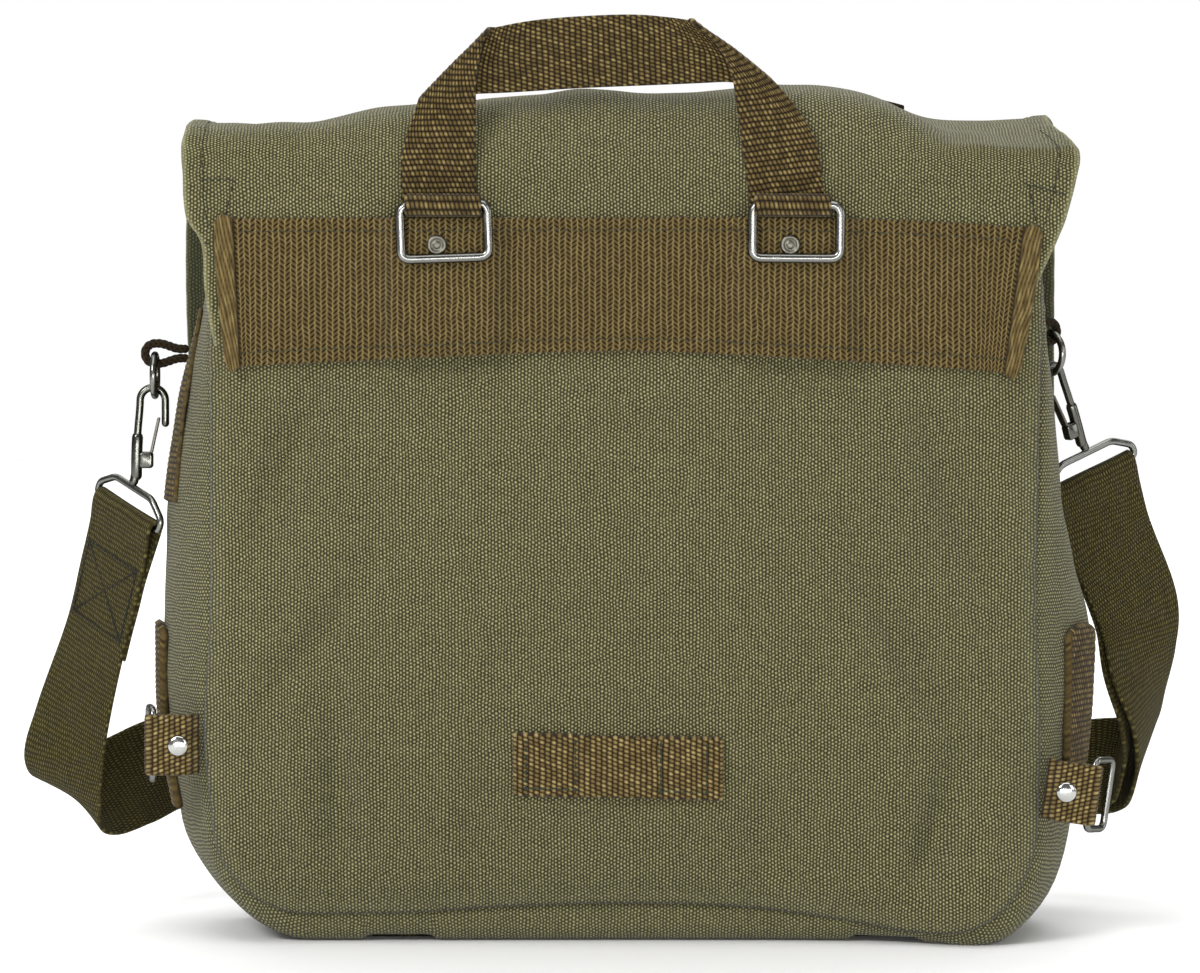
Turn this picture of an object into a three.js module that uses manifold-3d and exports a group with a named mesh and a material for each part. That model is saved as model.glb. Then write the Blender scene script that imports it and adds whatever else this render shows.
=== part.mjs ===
// Canvas field bag, filled and standing, its back turned to -Y. Millimetres, +Z up.
// The origin lies on the surface the bag stands on, in the middle of its flat bottom.

import * as THREE from "three";
import { mergeVertices } from "three/addons/utils/BufferGeometryUtils.js";
import Module from "manifold-3d";

const wasm = await Module();
wasm.setup();

// Cloth thickness and the clearance between pieces that lie on each other
const CANVAS = 1.6;
const WEBBING = 1.6;
const STRAP = 1.8;
const GAP = 0.35;
const LAYER = GAP + WEBBING;

// Body: depth between the seams, and how the filled panels and the gusset swell
const DEPTH = 100;
const HALF = DEPTH / 2;
const GUSSET_HALF = HALF - CANVAS - GAP;
const DOME_POWER = 2.6;
const GUSSET_FULLNESS = 1.2;
const GUSSET_ACROSS = [0, 0.05, 0.13, 0.225, 0.5, 0.775, 0.87, 0.95, 1];

// Height rows of the sides: X of the panel seam and of the gusset's middle line
const SIDE_ROWS = [
  { z: 52, leftSeam: -171, leftSide: -187, rightSeam: 171, rightSide: 189 },
  { z: 85, leftSeam: -174, leftSide: -193, rightSeam: 172, rightSide: 193.5 },
  { z: 135, leftSeam: -171.5, leftSide: -194, rightSeam: 170, rightSide: 194.5 },
  { z: 165, leftSeam: -171, leftSide: -193, rightSeam: 170, rightSide: 184 },
  { z: 185, leftSeam: -171, leftSide: -191.5, rightSeam: 170.5, rightSide: 174 },
  { z: 222, leftSeam: -171, leftSide: -186, rightSeam: 171, rightSide: 168 },
  { z: 260, leftSeam: -171, leftSide: -177, rightSeam: 172, rightSide: 165 },
  { z: 300, leftSeam: -170, leftSide: -170, rightSeam: 171, rightSide: 164 },
  { z: 316, leftSeam: -169, leftSide: -168, rightSeam: 170, rightSide: 164 },
];

// Height of the seam above the floor, along the bottom
const BOTTOM_ROWS = [
  { x: -131, seam: 12 },
  { x: -85, seam: 12.7 },
  { x: -52, seam: 15 },
  { x: 0, seam: 16.4 },
  { x: 51, seam: 14.8 },
  { x: 96, seam: 8.6 },
  { x: 115, seam: 5.5 },
  { x: 131, seam: 5 },
];

// How far the gusset stands out from the seam half way round each bottom corner
const CORNER_BULGE = { left: 6, right: 10 };
const CORNER_ANGLES = [22.5, 45, 67.5];

// How far the panels swell, by the height above the bottom seam
const DOME_ROWS = [
  { height: 0, out: 0 },
  { height: 40, out: 6 },
  { height: 110, out: 9 },
  { height: 180, out: 7 },
  { height: 222, out: 4 },
  { height: 320, out: 4 },
];

// Soft dents of the back panel: middle, lean from the vertical, half length, half width, depth
const BACK_FOLDS = [
  { x: -119, z: 68, lean: -6, reach: 46, width: 16, depth: 3 },
  { x: 132, z: 45, lean: 8, reach: 34, width: 15, depth: 3 },
  { x: -140, z: 195, lean: 24, reach: 50, width: 17, depth: 2.5 },
  { x: 140, z: 175, lean: -20, reach: 50, width: 17, depth: 2.5 },
];

// Flap, from its sewn edge up the back, over the top and down the front; crown is the share of
// the top line's rise that the row takes
const FLAP_ROWS = [
  { on: "back", z: 248, left: -165, right: 159 },
  { on: "back", z: 270, left: -169, right: 167 },
  { on: "back", z: 299, left: -177, right: 180 },
  { on: "back", z: 321, left: -180.5, right: 185 },
  { y: -51.5, z: 331, left: -180.5, right: 184, crown: 0.2 },
  { y: -46, z: 338, left: -179.5, right: 179, crown: 0.6 },
  { y: -36, z: 341.5, left: -179.5, right: 177, crown: 0.9 },
  { y: -15, z: 342.5, left: -180, right: 178, crown: 1.05 },
  { y: 12, z: 342.5, left: -181, right: 180, crown: 1.05 },
  { y: 38, z: 341, left: -183, right: 183, crown: 0.85 },
  { y: 51, z: 336, left: -184, right: 184, crown: 0.45 },
  { y: 58.5, z: 326, left: -185, right: 185, crown: 0.1 },
  { on: "front", z: 308, left: -185, right: 185 },
  { on: "front", z: 265, left: -185, right: 185 },
  { on: "front", z: 215, left: -185, right: 185 },
  { on: "front", z: 165, left: -184, right: 184 },
  { on: "front", z: 108, left: -183, right: 183 },
];
const FLAP_TOP_FRONT_ROW = 9;
const FLAP_FRONT_EASE = 1.2;
const FLAP_COLUMNS = [0, 0.07, 0.14, 0.21, 0.277, 0.36, 0.44, 0.52, 0.6, 0.68, 0.762, 0.829, 0.91, 1];

// Rise of the flap's top line over the filled middle
const TOP_LINE = [
  { x: -185, rise: 1 },
  { x: -133, rise: -2 },
  { x: -95, rise: 4.5 },
  { x: -30, rise: 11.5 },
  { x: 45, rise: 14.5 },
  { x: 96, rise: 9.5 },
  { x: 128, rise: 0 },
  { x: 150, rise: -1 },
  { x: 185, rise: 2 },
];

// Wide band over the seam of flap and back panel; it steps over the ring tabs
const BAND_EDGES = [
  { x: -169.3, top: 299.5, bottom: 239 },
  { x: -74, top: 299.8, bottom: 243.5 },
  { x: 0, top: 299.8, bottom: 246 },
  { x: 70, top: 299.8, bottom: 243 },
  { x: 130, top: 298, bottom: 239 },
  { x: 172, top: 295, bottom: 236 },
];
const BAND_HEM = 10;
const BAND_RIGHT_SLANT = 9.6;
const BAND_STEP_Y = -61.8;
const BAND_STEP_HALF = 19.5;
const BAND_STEP_FOOT = 30;
const BAND_STEP_LOW = 249;
const BAND_ROWS = [0, 0.12, 0.25, 0.6, 1];

// Handle: two legs, a span, and mitred folds that lay the span behind the legs
const HANDLE = { width: 30, x: -76.3, y: -56.05, z: 280 };
const HANDLE_FOLD = 1.3;
const HANDLE_LENGTH = 298;
const HANDLE_BENDS = [
  { at: 79, skew: 46.3, radius: HANDLE_FOLD, turn: 180 },
  { at: 213, skew: -47.5, radius: HANDLE_FOLD, turn: 180 },
];

// Handle rings and the tabs rolled round their top bars
const TAB = { width: 30, y: -59.85, z: 255, length: 84.7 };
const RING_WIRE = 2;
const RING_HALF_WIDTH = 17.8;
const RING_HEIGHT = 21.6;
const RING_BEND = 3.6;
const RING_Y = -65.7;
const RING_Z = 305.2;
const TAB_BENDS = [
  { at: 44.7, skew: 0, radius: 2.6, turn: -90 },
  { at: 51.98, skew: 0, radius: 2.9, turn: 225 },
  { at: 68.47, skew: 0, radius: 1.5, turn: 45 },
];
const HANDLE_RINGS = [
  { side: "left", x: -74, tilt: -2, rivet: -76.7 },
  { side: "right", x: 69.7, tilt: 0.5, rivet: 67.2 },
];
const RIVET = { radius: 4.2, height: 1.4, bandZ: 289 };

// Belt loop low on the back: doubled and sewn at both ends, free in the middle
const BELT_LOOP = { x: -2.8, z: 75, length: 84.4, width: 24.5, drop: 2, free: 36, lift: 2 };
const BELT_LOOP_COLUMNS = [-1, -0.75, -0.45, -0.4, -0.15, 0.15, 0.4, 0.45, 0.75, 1];

// Webbing on the sides of the gusset
const SIDE_WEBBING = { y: 0, width: 25, top: 262, bottom: 182, thick: WEBBING };
const SIDE_TONGUE = { y: -14, width: 24, top: 130, bottom: 53, thick: 2 * WEBBING + 0.2 };

// Cord loop, round ring and spring hook, in a frame whose +X points away from the gusset
const CORD = { radius: 1.9, spread: 4.25, reach: 14.35, start: 1.9 };
const SIDE_RING = { radius: 8.6, wire: 1.5, x: 14.5 };
const HOOK_WIRE = 1.6;
const HOOK_ARCH = { x: 1, z: -1.9, radius: 5.3 };
const HOOK_TIP_Z = -12.2;
const HOOK_SHANK = [
  { x: 7.1, z: -12 },
  { x: 8, z: -24 },
];
const HOOK_BODY = { left: 2.7, right: 9.7, top: -19, bottom: -36.9, width: 6.5, round: 1.2 };
const GATE = { x: 1.7, z: -24.2, topX: -1.6, topZ: -9.2, thick: 1.1, width: 4 };
const FRAME_WIRE = 1.5;
const FRAME_SEAT = { x: 9.2, z: -38.8 };
const FRAME_HEIGHT = 11;
const FRAME_CORNERS = [
  [-13, 0],
  [13, 0],
  [22.3, -6],
  [22.3, -FRAME_HEIGHT],
  [-22.3, -FRAME_HEIGHT],
  [-22.3, -6],
];
const CLIPS = [
  {
    side: "left",
    z: 243,
    turn: 180,
    swing: 0,
    bar: [0.64, -0.69, -0.335],
    down: [-0.255, 0.22, -0.942],
  },
  {
    side: "right",
    z: 252,
    turn: 35,
    swing: 18,
    bar: [0.85, 0.37, 0.383],
    down: [0.28, 0.3, -0.91],
  },
];

// Shoulder strap: centre of the webbing and its width direction, from the left clip behind the
// bag to the right clip
const STRAP_WIDTH = 40;
const STRAP_ROUTE = [
  { x: -236.4, y: 23.7, z: 83, wx: 0.72, wy: -0.5, wz: -0.45 },
  { x: -240.5, y: 29.5, z: 63, wx: 0.8, wy: -0.3, wz: -0.52 },
  { x: -238, y: 38, z: 52, wx: 0.8, wy: -0.3, wz: -0.52 },
  { x: -229, y: 48, z: 50, wx: 0.6, wy: -0.3, wz: -0.74 },
  { x: -214, y: 61, z: 56, wx: 0.35, wy: -0.2, wz: -0.92 },
  { x: -196, y: 77, z: 62, wx: 0.1, wy: -0.1, wz: -1 },
  { x: -165, y: 97, z: 60, wx: 0, wy: 0, wz: -1 },
  { x: -115, y: 108, z: 44, wx: 0, wy: 0, wz: -1 },
  { x: -60, y: 113, z: 28, wx: 0, wy: 0, wz: -1 },
  { x: 0, y: 115, z: 20.6, wx: 0, wy: 0, wz: -1 },
  { x: 60, y: 114, z: 22, wx: 0, wy: 0, wz: -1 },
  { x: 115, y: 110, z: 34, wx: 0, wy: 0, wz: -1 },
  { x: 165, y: 102, z: 50, wx: 0, wy: 0, wz: -1 },
  { x: 190, y: 95, z: 56, wx: 0, wy: -0.05, wz: -1 },
  { x: 208, y: 87, z: 58, wx: -0.08, wy: -0.2, wz: -0.98 },
  { x: 221, y: 79, z: 60, wx: -0.2, wy: -0.5, wz: -0.84 },
  { x: 228, y: 70, z: 69, wx: -0.28, wy: -0.8, wz: -0.52 },
  { x: 228.5, y: 62, z: 87, wx: -0.42, wy: -0.78, wz: -0.46 },
  { x: 225, y: 54, z: 110, wx: -0.7, wy: -0.5, wz: -0.5 },
  { x: 222, y: 47, z: 131, wx: -0.8, wy: -0.35, wz: -0.48 },
];
const ROLL_MIDDLE = FRAME_WIRE + GAP + STRAP / 2;
const PAIR_OFFSET = STRAP / 2 + 0.15;
// Webbing over a frame's bar: distance down from the bar and across it, front layer positive
const ROLL_ROWS = [
  { down: 12, across: -1.4 },
  { down: 4, across: -2.6 },
  { down: 0, across: -ROLL_MIDDLE },
  { down: -0.7 * ROLL_MIDDLE, across: -0.7 * ROLL_MIDDLE },
  { down: -ROLL_MIDDLE, across: 0 },
  { down: -0.7 * ROLL_MIDDLE, across: 0.7 * ROLL_MIDDLE },
  { down: 0, across: ROLL_MIDDLE },
  { down: 4, across: 2.6 },
  { down: 12, across: 1.4 },
  { down: 30, across: PAIR_OFFSET },
];
const FOLDED_END = 56;
const RIBBON_STEP = 16;
const RETURN_TOP = 14;
const RETURN_LOOSE = 5;
const SLIDER = { halfHeight: 23, halfLength: 12, wire: 1.5, x: 60 };

// Riveted tabs low on the sides, each folded round the bar of a rectangular ring
const SIDE_TAB = { width: 24, length: 38, fold: 23, y: -50.9, radius: 1.9, rivetAt: 12.5 };
const TAB_RING = { wire: 1.5, halfBar: 14.5, reach: 14.5, bend: 3.5 };
const SIDE_TABS = [
  { side: "left", x: -171.5, z: 83, turn: -90, ringTurn: -78 },
  { side: "right", x: 169.5, z: 65.5, turn: 98, ringTurn: -55 },
];

// Closure straps: over the flap's front, threaded through a buckle held by a strap that runs
// under the bottom
const CLOSURE_WIDTH = 23;
const CLOSURES = [
  { side: "left", x: -93.5 },
  { side: "right", x: 108 },
];
const CLOSURE_EASE = 0.3;
const LIFT_EDGE = 4;
const BUCKLE = { z: 80, halfWidth: 15, halfHeight: 12, wire: 1.5, out: 3.3, bend: 3 };
const CLOSURE_TAIL = [
  { z: 99, out: -0.5 },
  { z: 92, out: -0.5 },
  { z: 80, out: 4.8 },
  { z: 68, out: 7 },
  { z: 57, out: 6.6 },
  { z: 46, out: 5.6 },
];
const BOTTOM_STRAP_START = 0.14;
const BOTTOM_STRAP_FRONT = [24, 40, 56];
const BOTTOM_STRAP_RETURN = [
  { z: 61, share: 0.5 },
  { z: 56, share: 0.15 },
  { z: 46, share: 0 },
];

const materials = {
  canvas: () => finish(0x6a6a50, 0.95, 0),
  trim: () => finish(0x675433, 0.95, 0),
  strap: () => finish(0x4b4427, 0.95, 0),
  cord: () => finish(0x4a4028, 0.95, 0),
  steel: () => finish(0xc9ccce, 0.28, 1),
  darkSteel: () => finish(0x8d8c86, 0.4, 1),
};

function finish(color, roughness, metalness) {
  return new THREE.MeshStandardMaterial({ color, roughness, metalness });
}

// Geometry helpers

function mix(a, b, t) {
  return a + (b - a) * t;
}

function clamp01(t) {
  return Math.min(Math.max(t, 0), 1);
}

function radians(degrees) {
  return THREE.MathUtils.degToRad(degrees);
}

function rowSlope(rows, key, column, i) {
  const before = rows[Math.max(i - 1, 0)];
  const after = rows[Math.min(i + 1, rows.length - 1)];
  return (after[column] - before[column]) / (after[key] - before[key]);
}

// Smooth value of a table's column at a place between its rows, whose key rises
function along(rows, key, column, place) {
  if (place <= rows[0][key]) return rows[0][column];
  const i = rows.findIndex((row) => row[key] >= place);
  if (i < 0) return rows[rows.length - 1][column];
  const a = rows[i - 1];
  const b = rows[i];
  const span = b[key] - a[key];
  const t = (place - a[key]) / span;
  const start = rowSlope(rows, key, column, i - 1) * span;
  const end = rowSlope(rows, key, column, i) * span;
  const rise = t * t * (3 - 2 * t);
  const leave = t * (1 - t) * (1 - t);
  const arrive = t * t * (t - 1);
  return mix(a[column], b[column], rise) + start * leave + end * arrive;
}

// Closed geometry with its faces turned outwards
function closed(points, triangles) {
  let volume = 0;
  for (let i = 0; i < triangles.length; i += 3) {
    const [a, b, c] = [0, 1, 2].map((k) => points[triangles[i + k]]);
    volume += a.dot(new THREE.Vector3().crossVectors(b, c));
  }
  if (volume < 0) triangles.reverse();
  const geometry = new THREE.BufferGeometry().setFromPoints(points);
  geometry.setIndex(triangles);
  geometry.computeVertexNormals();
  return geometry;
}

// Wall between two grids of points of the same size
function shell(rows, columns, outer, inner) {
  const points = [];
  const place = (i, j, side) => (i * columns + j) * 2 + side;
  for (let i = 0; i < rows; i++) {
    for (let j = 0; j < columns; j++) points.push(outer(i, j), inner(i, j));
  }
  const triangles = [];
  const quad = (a, b, c, d) => triangles.push(a, b, c, a, c, d);
  for (let i = 0; i + 1 < rows; i++) {
    for (let j = 0; j + 1 < columns; j++) {
      quad(place(i, j, 0), place(i + 1, j, 0), place(i + 1, j + 1, 0), place(i, j + 1, 0));
      quad(place(i, j, 1), place(i, j + 1, 1), place(i + 1, j + 1, 1), place(i + 1, j, 1));
    }
  }
  for (let i = 0; i + 1 < rows; i++) {
    quad(place(i, 0, 0), place(i, 0, 1), place(i + 1, 0, 1), place(i + 1, 0, 0));
    const j = columns - 1;
    quad(place(i, j, 0), place(i + 1, j, 0), place(i + 1, j, 1), place(i, j, 1));
  }
  for (let j = 0; j + 1 < columns; j++) {
    quad(place(0, j, 0), place(0, j + 1, 0), place(0, j + 1, 1), place(0, j, 1));
    const i = rows - 1;
    quad(place(i, j, 0), place(i, j, 1), place(i, j + 1, 1), place(i, j + 1, 0));
  }
  return closed(points, triangles);
}

// Line of points in the YZ plane, moved sideways by a distance (to the left of its direction)
function beside(line, distance) {
  return line.map((point, i) => {
    const before = line[Math.max(i - 1, 0)];
    const after = line[Math.min(i + 1, line.length - 1)];
    const first = point.clone().sub(before).normalize();
    const second = after.clone().sub(point).normalize();
    if (i === 0) first.copy(second);
    if (i === line.length - 1) second.copy(first);
    const normal = new THREE.Vector2(-first.y - second.y, first.x + second.x).normalize();
    const stretch = Math.max(0.5, -normal.x * first.y + normal.y * first.x);
    return point.clone().addScaledVector(normal, distance / stretch);
  });
}

// Strap whose side edges follow two lines in the YZ plane at two X places
function strapBetween(xs, lines, near, far) {
  const outer = lines.map((line) => beside(line, near));
  const inner = lines.map((line) => beside(line, far));
  const at = (set) => (i, j) => new THREE.Vector3(xs[j], set[j][i].x, set[j][i].y);
  return shell(lines[0].length, xs.length, at(outer), at(inner));
}

// Flat strip (length along +Z, width along X, thickness towards -Y) after its bends: each bend
// rolls what lies past its line round a cylinder, towards +Y where the turn is positive
function bentStrip(width, length, thickness, bends) {
  const stations = [{ u: 0, shear: 0 }];
  for (const bend of bends) {
    const turn = Math.abs(radians(bend.turn));
    const zone = (bend.radius * turn) / Math.cos(radians(bend.skew));
    const steps = Math.max(2, Math.ceil(turn / radians(30)));
    for (let k = 0; k <= steps; k++) {
      stations.push({ u: bend.at + (zone * k) / steps, shear: Math.tan(radians(bend.skew)) });
    }
  }
  stations.push({ u: length, shear: 0 });
  const map = (u, v, w) => {
    const point = new THREE.Vector3(v, w, u);
    for (const bend of [...bends].reverse()) {
      const skew = radians(bend.skew);
      const past = (u - bend.at) * Math.cos(skew) - v * Math.sin(skew);
      const full = Math.abs(radians(bend.turn));
      const angle = Math.min(Math.max(past / bend.radius, 0), full);
      const sign = Math.sign(bend.turn);
      const line = new THREE.Vector3(Math.cos(skew), 0, Math.sin(skew));
      const ahead = new THREE.Vector3(-Math.sin(skew), 0, Math.cos(skew));
      const start = new THREE.Vector3(0, 0, bend.at);
      const rest = point.clone().sub(start);
      const go = rest.dot(ahead) - angle * bend.radius;
      const rise = rest.y;
      const cos = Math.cos(angle);
      const sin = Math.sin(angle);
      point.copy(start).addScaledVector(line, rest.dot(line));
      point.addScaledVector(ahead, go * cos - sign * rise * sin + bend.radius * sin);
      point.y += sign * go * sin + rise * cos + sign * bend.radius * (1 - cos);
    }
    return point;
  };
  const columns = [-0.5, 0, 0.5].map((share) => share * width);
  const at = (w) => (i, j) => {
    const { u, shear } = stations[i];
    return map(u + columns[j] * shear, columns[j], w);
  };
  return shell(stations.length, columns.length, at(0), at(-thickness));
}

// Closed loop of wire in the XZ plane with rounded corners
function wireLoop(corners, bend, wire) {
  const middle = [];
  corners.forEach((corner, i) => {
    const here = new THREE.Vector2(...corner);
    const before = new THREE.Vector2(...corners[(i + corners.length - 1) % corners.length]);
    const after = new THREE.Vector2(...corners[(i + 1) % corners.length]);
    const start = before.sub(here).setLength(bend).add(here);
    const end = after.sub(here).setLength(bend).add(here);
    middle.push(...new THREE.QuadraticBezierCurve(start, here, end).getPoints(3));
  });
  const sides = 8;
  const count = middle.length;
  const points = [];
  const triangles = [];
  middle.forEach((point, i) => {
    const before = middle[(i + count - 1) % count];
    const after = middle[(i + 1) % count];
    const run = after.clone().sub(before).normalize();
    for (let k = 0; k < sides; k++) {
      const angle = (2 * Math.PI * k) / sides;
      const out = wire * Math.cos(angle);
      const y = wire * Math.sin(angle);
      points.push(new THREE.Vector3(point.x + run.y * out, y, point.y - run.x * out));
      const next = ((i + 1) % count) * sides;
      const turn = (k + 1) % sides;
      const [a, b, c, d] = [i * sides + k, next + k, next + turn, i * sides + turn];
      triangles.push(a, b, c, a, c, d);
    }
  });
  return closed(points, triangles);
}

// Round wire along a line of points
function wirePath(points, wire, steps) {
  const path = new THREE.CatmullRomCurve3(points, false, "centripetal");
  const section = new THREE.Shape().absarc(0, 0, wire, 0, 2 * Math.PI);
  const options = { steps, curveSegments: 4, bevelEnabled: false, extrudePath: path };
  return new THREE.ExtrudeGeometry(section, options);
}

function toManifold(geometry) {
  const bare = new THREE.BufferGeometry();
  bare.setAttribute("position", geometry.getAttribute("position"));
  if (geometry.index) bare.setIndex(geometry.index);
  const merged = mergeVertices(bare, 1e-4);
  const vertProperties = new Float32Array(merged.getAttribute("position").array);
  const triVerts = new Uint32Array(merged.index.array);
  return new wasm.Manifold(new wasm.Mesh({ numProp: 3, vertProperties, triVerts }));
}

// One solid joined from several that overlap
function joined(geometries) {
  const [first, ...rest] = geometries.map(toManifold);
  const mesh = rest.reduce((all, next) => all.add(next), first).getMesh();
  const geometry = new THREE.BufferGeometry();
  geometry.setAttribute("position", new THREE.BufferAttribute(mesh.vertProperties, 3));
  geometry.setIndex(new THREE.BufferAttribute(mesh.triVerts, 1));
  geometry.computeVertexNormals();
  return geometry;
}

function mesh(name, geometry, material) {
  const made = new THREE.Mesh(geometry, materials[material]());
  made.name = name;
  return made;
}

// Body surface

function bottomSeam(x) {
  return along(BOTTOM_ROWS, "x", "seam", x);
}

function dent(x, z) {
  return BACK_FOLDS.reduce((sum, fold) => {
    const lean = radians(fold.lean);
    const across = (x - fold.x) * Math.cos(lean) - (z - fold.z) * Math.sin(lean);
    const run = (x - fold.x) * Math.sin(lean) + (z - fold.z) * Math.cos(lean);
    return sum + fold.depth * Math.exp(-((across / fold.width) ** 2) - (run / fold.reach) ** 2);
  }, 0);
}

// How far a panel stands out from the plane of its seam
function swell(x, z, dented) {
  const left = along(SIDE_ROWS, "z", "leftSeam", z);
  const right = along(SIDE_ROWS, "z", "rightSeam", z);
  const share = Math.abs((2 * x - left - right) / (right - left));
  if (share >= 1) return 0;
  const height = z - bottomSeam(x);
  const dome = along(DOME_ROWS, "height", "out", height) * (1 - share ** DOME_POWER);
  const low = clamp01(height / 30) * (1 - share ** 6) * clamp01((235 - z) / 20);
  return dome - (dented ? dent(x, z) * low : 0);
}

function backY(x, z) {
  return -HALF - swell(x, z, true);
}

function frontY(x, z) {
  return HALF + swell(x, z, false);
}

// Lift of the gusset where a closure strap runs under it
function strapLift(x) {
  const half = CLOSURE_WIDTH / 2 + 0.5;
  return CLOSURES.reduce((lift, strap) => {
    const past = Math.abs(x - strap.x) - half;
    return Math.max(lift, LAYER * clamp01(1 - past / LIFT_EDGE));
  }, 0);
}

function bottomStations() {
  const half = CLOSURE_WIDTH / 2 + 0.5;
  const edges = CLOSURES.flatMap(({ x }) => {
    return [x - half - LIFT_EDGE, x - half, x + half, x + half + LIFT_EDGE];
  });
  const first = BOTTOM_ROWS[0].x;
  const last = BOTTOM_ROWS[BOTTOM_ROWS.length - 1].x;
  return [first, ...edges, -40, 0, 45, last].sort((a, b) => a - b);
}

// Stations of the seam from the top of the left side round the bottom to the top of the right
function outline() {
  const bottoms = bottomStations();
  const side = (name, sign) =>
    SIDE_ROWS.map((row) => ({
      x: row[`${name}Seam`],
      z: row.z,
      out: new THREE.Vector2(sign, 0),
      bulge: sign * (row[`${name}Side`] - row[`${name}Seam`]),
    }));
  const bottom = bottoms.map((x) => ({
    x,
    z: bottomSeam(x),
    out: new THREE.Vector2(0, -1),
    bulge: bottomSeam(x) - strapLift(x),
  }));
  const corner = (name, sign, from, to) => {
    const swells = [
      { angle: 0, bulge: from.bulge },
      { angle: 45, bulge: CORNER_BULGE[name] },
      { angle: 90, bulge: to.bulge },
    ];
    return CORNER_ANGLES.map((angle) => {
      const cos = Math.cos(radians(angle));
      const sin = Math.sin(radians(angle));
      return {
        x: to.x + (from.x - to.x) * cos,
        z: from.z + (to.z - from.z) * sin,
        out: new THREE.Vector2(sign * cos, -sin),
        bulge: along(swells, "angle", "bulge", angle),
      };
    });
  };
  const left = side("left", -1);
  const right = side("right", 1);
  const leftCorner = corner("left", -1, left[0], bottom[0]);
  const rightCorner = corner("right", 1, right[0], bottom[bottom.length - 1]);
  return [...left.reverse(), ...leftCorner, ...bottom, ...rightCorner.reverse(), ...right];
}

// Share of the gusset's bulge that shows at a place across its depth
function roundness(t) {
  return Math.min(1, GUSSET_FULLNESS * (1 - Math.abs(2 * t - 1) ** 3));
}

function gussetDepth(t) {
  return GUSSET_HALF * (2 * t - 1);
}

function gusset() {
  const stations = outline();
  const at = (offset) => (i, j) => {
    const { x, z, out, bulge } = stations[i];
    const t = GUSSET_ACROSS[j];
    const reach = bulge * roundness(t) + offset;
    return new THREE.Vector3(x + out.x * reach, gussetDepth(t), z + out.y * reach);
  };
  const geometry = shell(stations.length, GUSSET_ACROSS.length, at(0), at(-CANVAS));
  return mesh("gusset", geometry, "canvas");
}

// Canvas face of the body; its rim follows the seam
function panel(name, surface, inwards) {
  const stations = outline();
  const bottoms = bottomStations();
  const rows = SIDE_ROWS.length + CORNER_ANGLES.length;
  const first = bottoms[0];
  const width = bottoms[bottoms.length - 1] - first;
  const shares = bottoms.map((x) => (x - first) / width);
  const sagTop = 135;
  const place = (i, j) => {
    const share = shares[j];
    if (i === rows) return [bottoms[j], bottomSeam(bottoms[j])];
    const left = stations[i];
    const right = stations[stations.length - 1 - i];
    const level = mix(left.z, right.z, share);
    const flat = mix(bottomSeam(first), bottomSeam(first + width), share);
    const sag = clamp01((sagTop - level) / (sagTop - flat)) ** 2;
    return [mix(left.x, right.x, share), level + (bottomSeam(bottoms[j]) - flat) * sag];
  };
  const at = (offset) => (i, j) => {
    const [x, z] = place(i, j);
    return new THREE.Vector3(x, surface(x, z) + offset, z);
  };
  return mesh(name, shell(rows + 1, shares.length, at(0), at(inwards * CANVAS)), "canvas");
}

// Flap and what lies on it

function flapX(row, share) {
  return mix(row.left, row.right, share);
}

function flapFrontY(x, z) {
  return frontY(x, z) + GAP + CANVAS + FLAP_FRONT_EASE;
}

// Outer line of the flap in the YZ plane, from its sewn edge to its front hem
function flapLine(xOfRow) {
  return FLAP_ROWS.map((row) => {
    const x = xOfRow(row);
    if (row.on === "back") return new THREE.Vector2(backY(x, row.z) - GAP - CANVAS, row.z);
    if (row.on === "front") return new THREE.Vector2(flapFrontY(x, row.z), row.z);
    return new THREE.Vector2(row.y, row.z + row.crown * along(TOP_LINE, "x", "rise", x));
  });
}

function flap() {
  const lines = FLAP_COLUMNS.map((share) => flapLine((row) => flapX(row, share)));
  const inner = lines.map((line) => beside(line, -CANVAS));
  const at = (set) => (i, j) =>
    new THREE.Vector3(flapX(FLAP_ROWS[i], FLAP_COLUMNS[j]), set[j][i].x, set[j][i].y);
  return mesh("flap", shell(FLAP_ROWS.length, lines.length, at(lines), at(inner)), "canvas");
}

function bandBaseY(x, z) {
  return backY(x, z) - 2 * GAP - CANVAS;
}

// How far the band has stepped out over a ring tab, from 0 to 1
function bandStep(x, z) {
  const slope = BAND_STEP_FOOT - BAND_STEP_HALF;
  const near = Math.min(...HANDLE_RINGS.map((ring) => Math.abs(x - ring.x)));
  const low = clamp01(1 - (0.75 * (BAND_STEP_LOW - z)) / 15);
  return clamp01((BAND_STEP_FOOT - near) / slope) * low;
}

function backBand() {
  const first = BAND_EDGES[0].x;
  const last = BAND_EDGES[BAND_EDGES.length - 1].x;
  const steps = HANDLE_RINGS.flatMap(({ x }) => [
    x - BAND_STEP_FOOT,
    x - BAND_STEP_HALF,
    x + BAND_STEP_HALF,
    x + BAND_STEP_FOOT,
  ]);
  const hem = 0.4;
  const leftHem = [first, first + BAND_HEM, first + BAND_HEM + hem];
  const rightHem = [last - BAND_HEM - hem, last - BAND_HEM, last];
  const xs = [...leftHem, ...steps, 130, ...rightHem];
  const at = (outer) => (i, j) => {
    const edge = xs[j];
    const share = BAND_ROWS[i];
    const slant = j >= xs.length - 3 ? BAND_RIGHT_SLANT * (1 - share) : 0;
    const x = edge - slant;
    const z = mix(along(BAND_EDGES, "x", "bottom", edge), along(BAND_EDGES, "x", "top", edge), share);
    const inner = mix(bandBaseY(x, z), BAND_STEP_Y, bandStep(x, z));
    const doubled = j < 2 || j > xs.length - 3 ? 2 : 1;
    return new THREE.Vector3(x, inner - (outer ? doubled * WEBBING : 0), z);
  };
  return mesh("back_band", shell(BAND_ROWS.length, xs.length, at(true), at(false)), "trim");
}

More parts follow.
